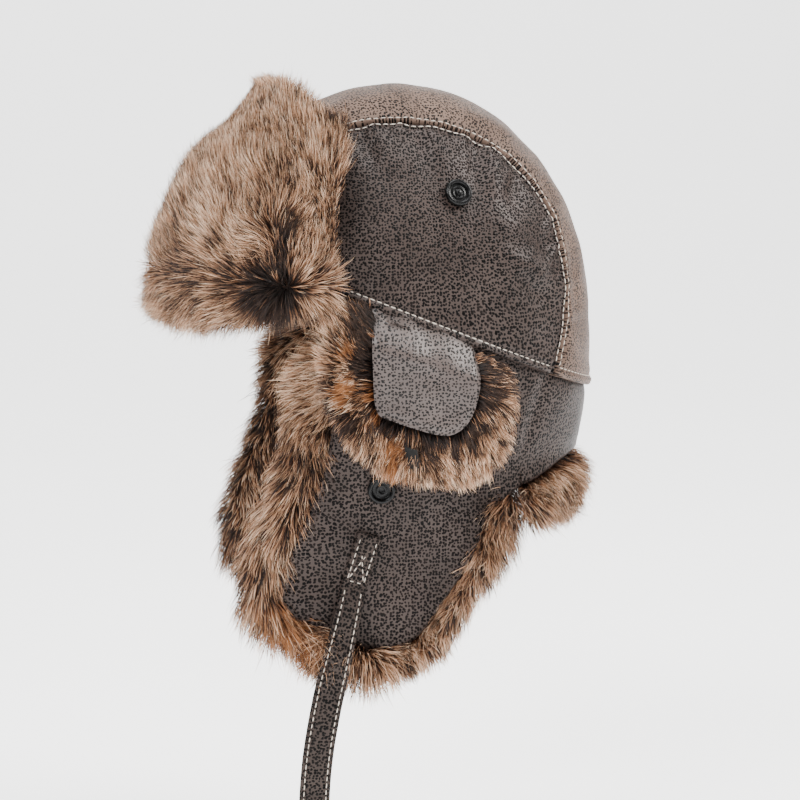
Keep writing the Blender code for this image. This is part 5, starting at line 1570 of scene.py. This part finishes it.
for side, g in SIDES:
    ob = strands("nape_fur_" + side, nape_skin, int(17000 * QUICK), 51 + (0 if g > 0 else 500), nape_flow, nape_length,
                 lambda p, n: np.full(len(p), 0.46), None, side_g=g, weight=nape_weight)
    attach(ob, "crown")
    if g > 0:
        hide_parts("nape_fur")
    ob = skin_object("nape_undercoat_" + side, nape_skin, g)
    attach(ob, "crown")


# ---- visor
def pinch_distance(p):
    return np.hypot(p[:, 1] - VISOR_PINCH[0], p[:, 2] - VISOR_PINCH[1]) + 100 * (p[:, 0] < 40)


visor_skin = undercoat("visor", "visor_fur", 6.0, 0.36, levels=2, keep=lambda c: c[:, 0] > -0.4,
                       dent=lambda p: 5.0 * np.exp(-(np.hypot(p[:, 1] - VISOR_PINCH[0], p[:, 2] - VISOR_PINCH[1]) / 15.0) ** 2)
                       * (p[:, 0] > 60) + 5.0 * smoothstep((p[:, 2] - 82.0) / 26.0)
                       + 3.0 * smoothstep((-98.0 - p[:, 1]) / 16.0) * smoothstep((p[:, 2] - 62.0) / 30.0)
                       + 4.0 * smoothstep((p[:, 1] + 58.0) / 14.0) * smoothstep((p[:, 2] - 20.0) / 16.0))


visor_skin = (visor_corner(visor_skin[0]),) + visor_skin[1:]


def visor_back(c, n):
    r = unit(np.stack([c[:, 0] * 1.2, c[:, 1], np.zeros(len(c))], -1))
    return np.sum(r * n, axis=1)


def visor_weight(c, n):
    dense = 1.0 + 1.2 * smoothstep((14.0 - c[:, 2]) / 14.0) * smoothstep((c[:, 1] + 96.0) / 20.0)
    return dense * np.where((visor_back(c, n) < -0.35) & (c[:, 2] > 9.0) & (c[:, 2] < 108.0 - 15.0 * smoothstep((c[:, 1] + 69.0) / 30.0)), 0.0, 1.0)


def visor_rear(p):
    """1 along the rear border, beside the crown's leather."""
    return smoothstep((p[:, 1] + 66.0) / 16.0) * smoothstep((p[:, 2] - 16.0) / 14.0) * (1 - visor_shoulder(p))


def visor_shoulder(p):
    """1 at the upper rear corner, where the pile stands up full."""
    return smoothstep((p[:, 1] + 88.0) / 14.0) * smoothstep((p[:, 2] - 66.0 + 0.5 * (p[:, 1] + 60.0)) / 16.0)


def visor_flow(p, n):
    r = unit(np.stack([np.zeros(len(p)), p[:, 1] - VISOR_PINCH[0], p[:, 2] - VISOR_PINCH[1]], -1))
    up = np.clip((p[:, 2] - 30.0) / 60.0, 0, 1)[:, None]
    low = smoothstep((20.0 - p[:, 2]) / 16.0)[:, None]
    corner = smoothstep((p[:, 1] + 88.0) / 24.0)[:, None] * low
    front = (smoothstep((74.0 - np.abs(p[:, 0])) / 34.0) * smoothstep((p[:, 2] - 8.0) / 18.0))[:, None]
    return r * (1 - corner) + np.array([0.0, 0.0, 0.6]) * up + low * np.array([0.0, -0.1, -1.1]) \
        + front * np.array([0.0, 0.0, 0.95]) + visor_shoulder(p)[:, None] * np.array([0.0, -0.5, 1.6]) \
        + corner * np.array([0.0, 0.55, -1.2]) + visor_rear(p)[:, None] * np.array([0.0, -0.75, 0.55])


def visor_length(p, n):
    d = pinch_distance(p)
    ln = 20.0 * (0.62 + 0.38 * smoothstep(d / 28.0)) * np.where(visor_back(p, n) < -0.2, 0.6, 1.0)
    ln = ln * (1 - 0.50 * smoothstep((p[:, 2] - 62.0) / 34.0))
    ln = ln * (1 - 0.45 * visor_rear(p))
    shoulder = visor_shoulder(p)
    ln = ln * (1 - shoulder) + (8.0 + 10.5 * smoothstep((p[:, 1] + 80.0) / 18.0)) * shoulder
    low = smoothstep((16.0 - p[:, 2]) / 12.0)
    return ln * (1 - low) + np.maximum(ln, 24.0) * low


def visor_tone(p, n):
    """Tan face; dark streaks run out of the pinch, one up the side and one forwards. Painted shade darkens the pile in
    the pinch's dent, and the bottom edge is a little darker.
    """
    d = pinch_distance(p)
    a = np.degrees(np.arctan2(p[:, 2] - VISOR_PINCH[1], VISOR_PINCH[0] - p[:, 1]))
    away = np.hypot(p[:, 1] - VISOR_PINCH[0], p[:, 2] - VISOR_PINCH[1])
    side = (p[:, 0] > 30).astype(float)
    up = np.exp(-((a - 84.0 - 0.10 * away) / 9.0) ** 2) * smoothstep(away / 14) * (1 - smoothstep((away - 34.0) / 44.0))
    fore = np.exp(-((a - 17.0) / 10.0) ** 2) * smoothstep(away / 12) * (1 - smoothstep((away - 36.0) / 34.0))
    ray = np.sin(a / 5.3 + 1.7 * np.sin(a / 17.0)) * np.exp(-away / 42.0)
    # the 0.38 term is painted shade in the pinch's dent
    return 0.50 - 0.38 * np.exp(-(d / 11.0) ** 2) - side * (0.34 * up + 0.36 * fore + 0.11 * ray) \
        - 0.07 * np.exp(-((p[:, 2] - 8) / 13.0) ** 2)


for side, g in SIDES:
    for part, seed, count in (("a", 81, 27000), ("b", 82, 24000)):
        ob = strands("visor_fur_%s_%s" % (side, part), visor_skin, int(count * QUICK), seed + (0 if g > 0 else 500),
                     visor_flow, visor_length, visor_tone, None, side_g=g, weight=visor_weight, droop=0.0, lift=0.95,
                     lean=0.50, width=0.33, press=0.02)
        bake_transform(ob)
        if part == "a" and g > 0:
            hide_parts("visor_fur")
    ob = skin_object("visor_undercoat_" + side, visor_skin, g)
    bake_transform(ob)

# ------------------------------------------------------------------ studio
FLOOR_Z = -0.345


def backdrop():
    prof = [(-2.6, 0.0), (-2.0, 0.0), (2.4, 0.0)]
    t = np.linspace(0, math.pi / 2, 14)
    ys = np.linspace(-3.5, 3.5, 5)
    line = [(3.0, 0.0)] + [(-1.6 - 1.2 * math.sin(a), 1.2 - 1.2 * math.cos(a)) for a in t] + [(-2.8, 3.4)]
    v = np.array([(x, y, FLOOR_Z + z) for x, z in line for y in ys]) * 1000.0
    m_ = Mat("backdrop_paper")
    n_ = m_.noise(m_.obj(), 3.0, 2.0)
    m_.set(Base_Color=m_.mix(m_.range(n_, 0.3, 0.7), (0.90, 0.90, 0.90), (0.93, 0.93, 0.93)), Roughness=0.9)
    m_.put(m_.b.inputs["Emission Color"], (1.0, 1.0, 1.0))
    m_.put(m_.b.inputs["Emission Strength"], 1.6)
    ob = build("backdrop", v, grid_faces(len(line), len(ys)), m_.m, "leather")
    del ob["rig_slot"]


backdrop()


def area(name, loc, target, size, power, colour=(1, 1, 1), size_y=None):
    li = bpy.data.lights.new(name, "AREA")
    li.shape = "RECTANGLE"
    li.size = size
    li.size_y = size_y or size
    li.energy = power
    li.color = colour
    ob = bpy.data.objects.new(name, li)
    ob.location = loc
    ob.rotation_mode = "QUATERNION"
    ob.rotation_quaternion = (Vector(target) - Vector(loc)).to_track_quat("-Z", "Y")
    bpy.context.scene.collection.objects.link(ob)
    return ob


area("key", (1.0, -1.25, 1.35), (0, 0, 0), 0.9, 60.0)
area("top", (0.1, 0.1, 1.7), (0, 0, 0), 0.9, 38.0)
area("back_right", (0.42, 1.30, 1.10), (0, 0.02, 0.03), 0.62, 52.0, (1.0, 0.98, 0.95))
area("right", (1.48, 0.36, 0.05), (0, 0, -0.04), 0.34, 2.4)

world = bpy.data.worlds.new("studio")
world.use_nodes = True
world.node_tree.nodes["Background"].inputs[0].default_value = (1.0, 1.0, 1.0, 1.0)
world.node_tree.nodes["Background"].inputs[1].default_value = 0.20
bpy.context.scene.world = world

cam_data = bpy.data.cameras.new("camera")
cam_data.lens = 93.95
cam_data.sensor_width = 36.0
cam = bpy.data.objects.new("camera", cam_data)
target = Vector((0.0, 0.004, -0.061))
back = Vector((0.9755, -0.1545, 0.1564)).normalized()
cam.location = target + back * 1.19
cam.rotation_mode = "QUATERNION"
cam.rotation_quaternion = (-back).to_track_quat("-Z", "Y")
cam_data.clip_start, cam_data.clip_end = 0.05, 20.0
bpy.context.scene.collection.objects.link(cam)
bpy.context.scene.camera = cam
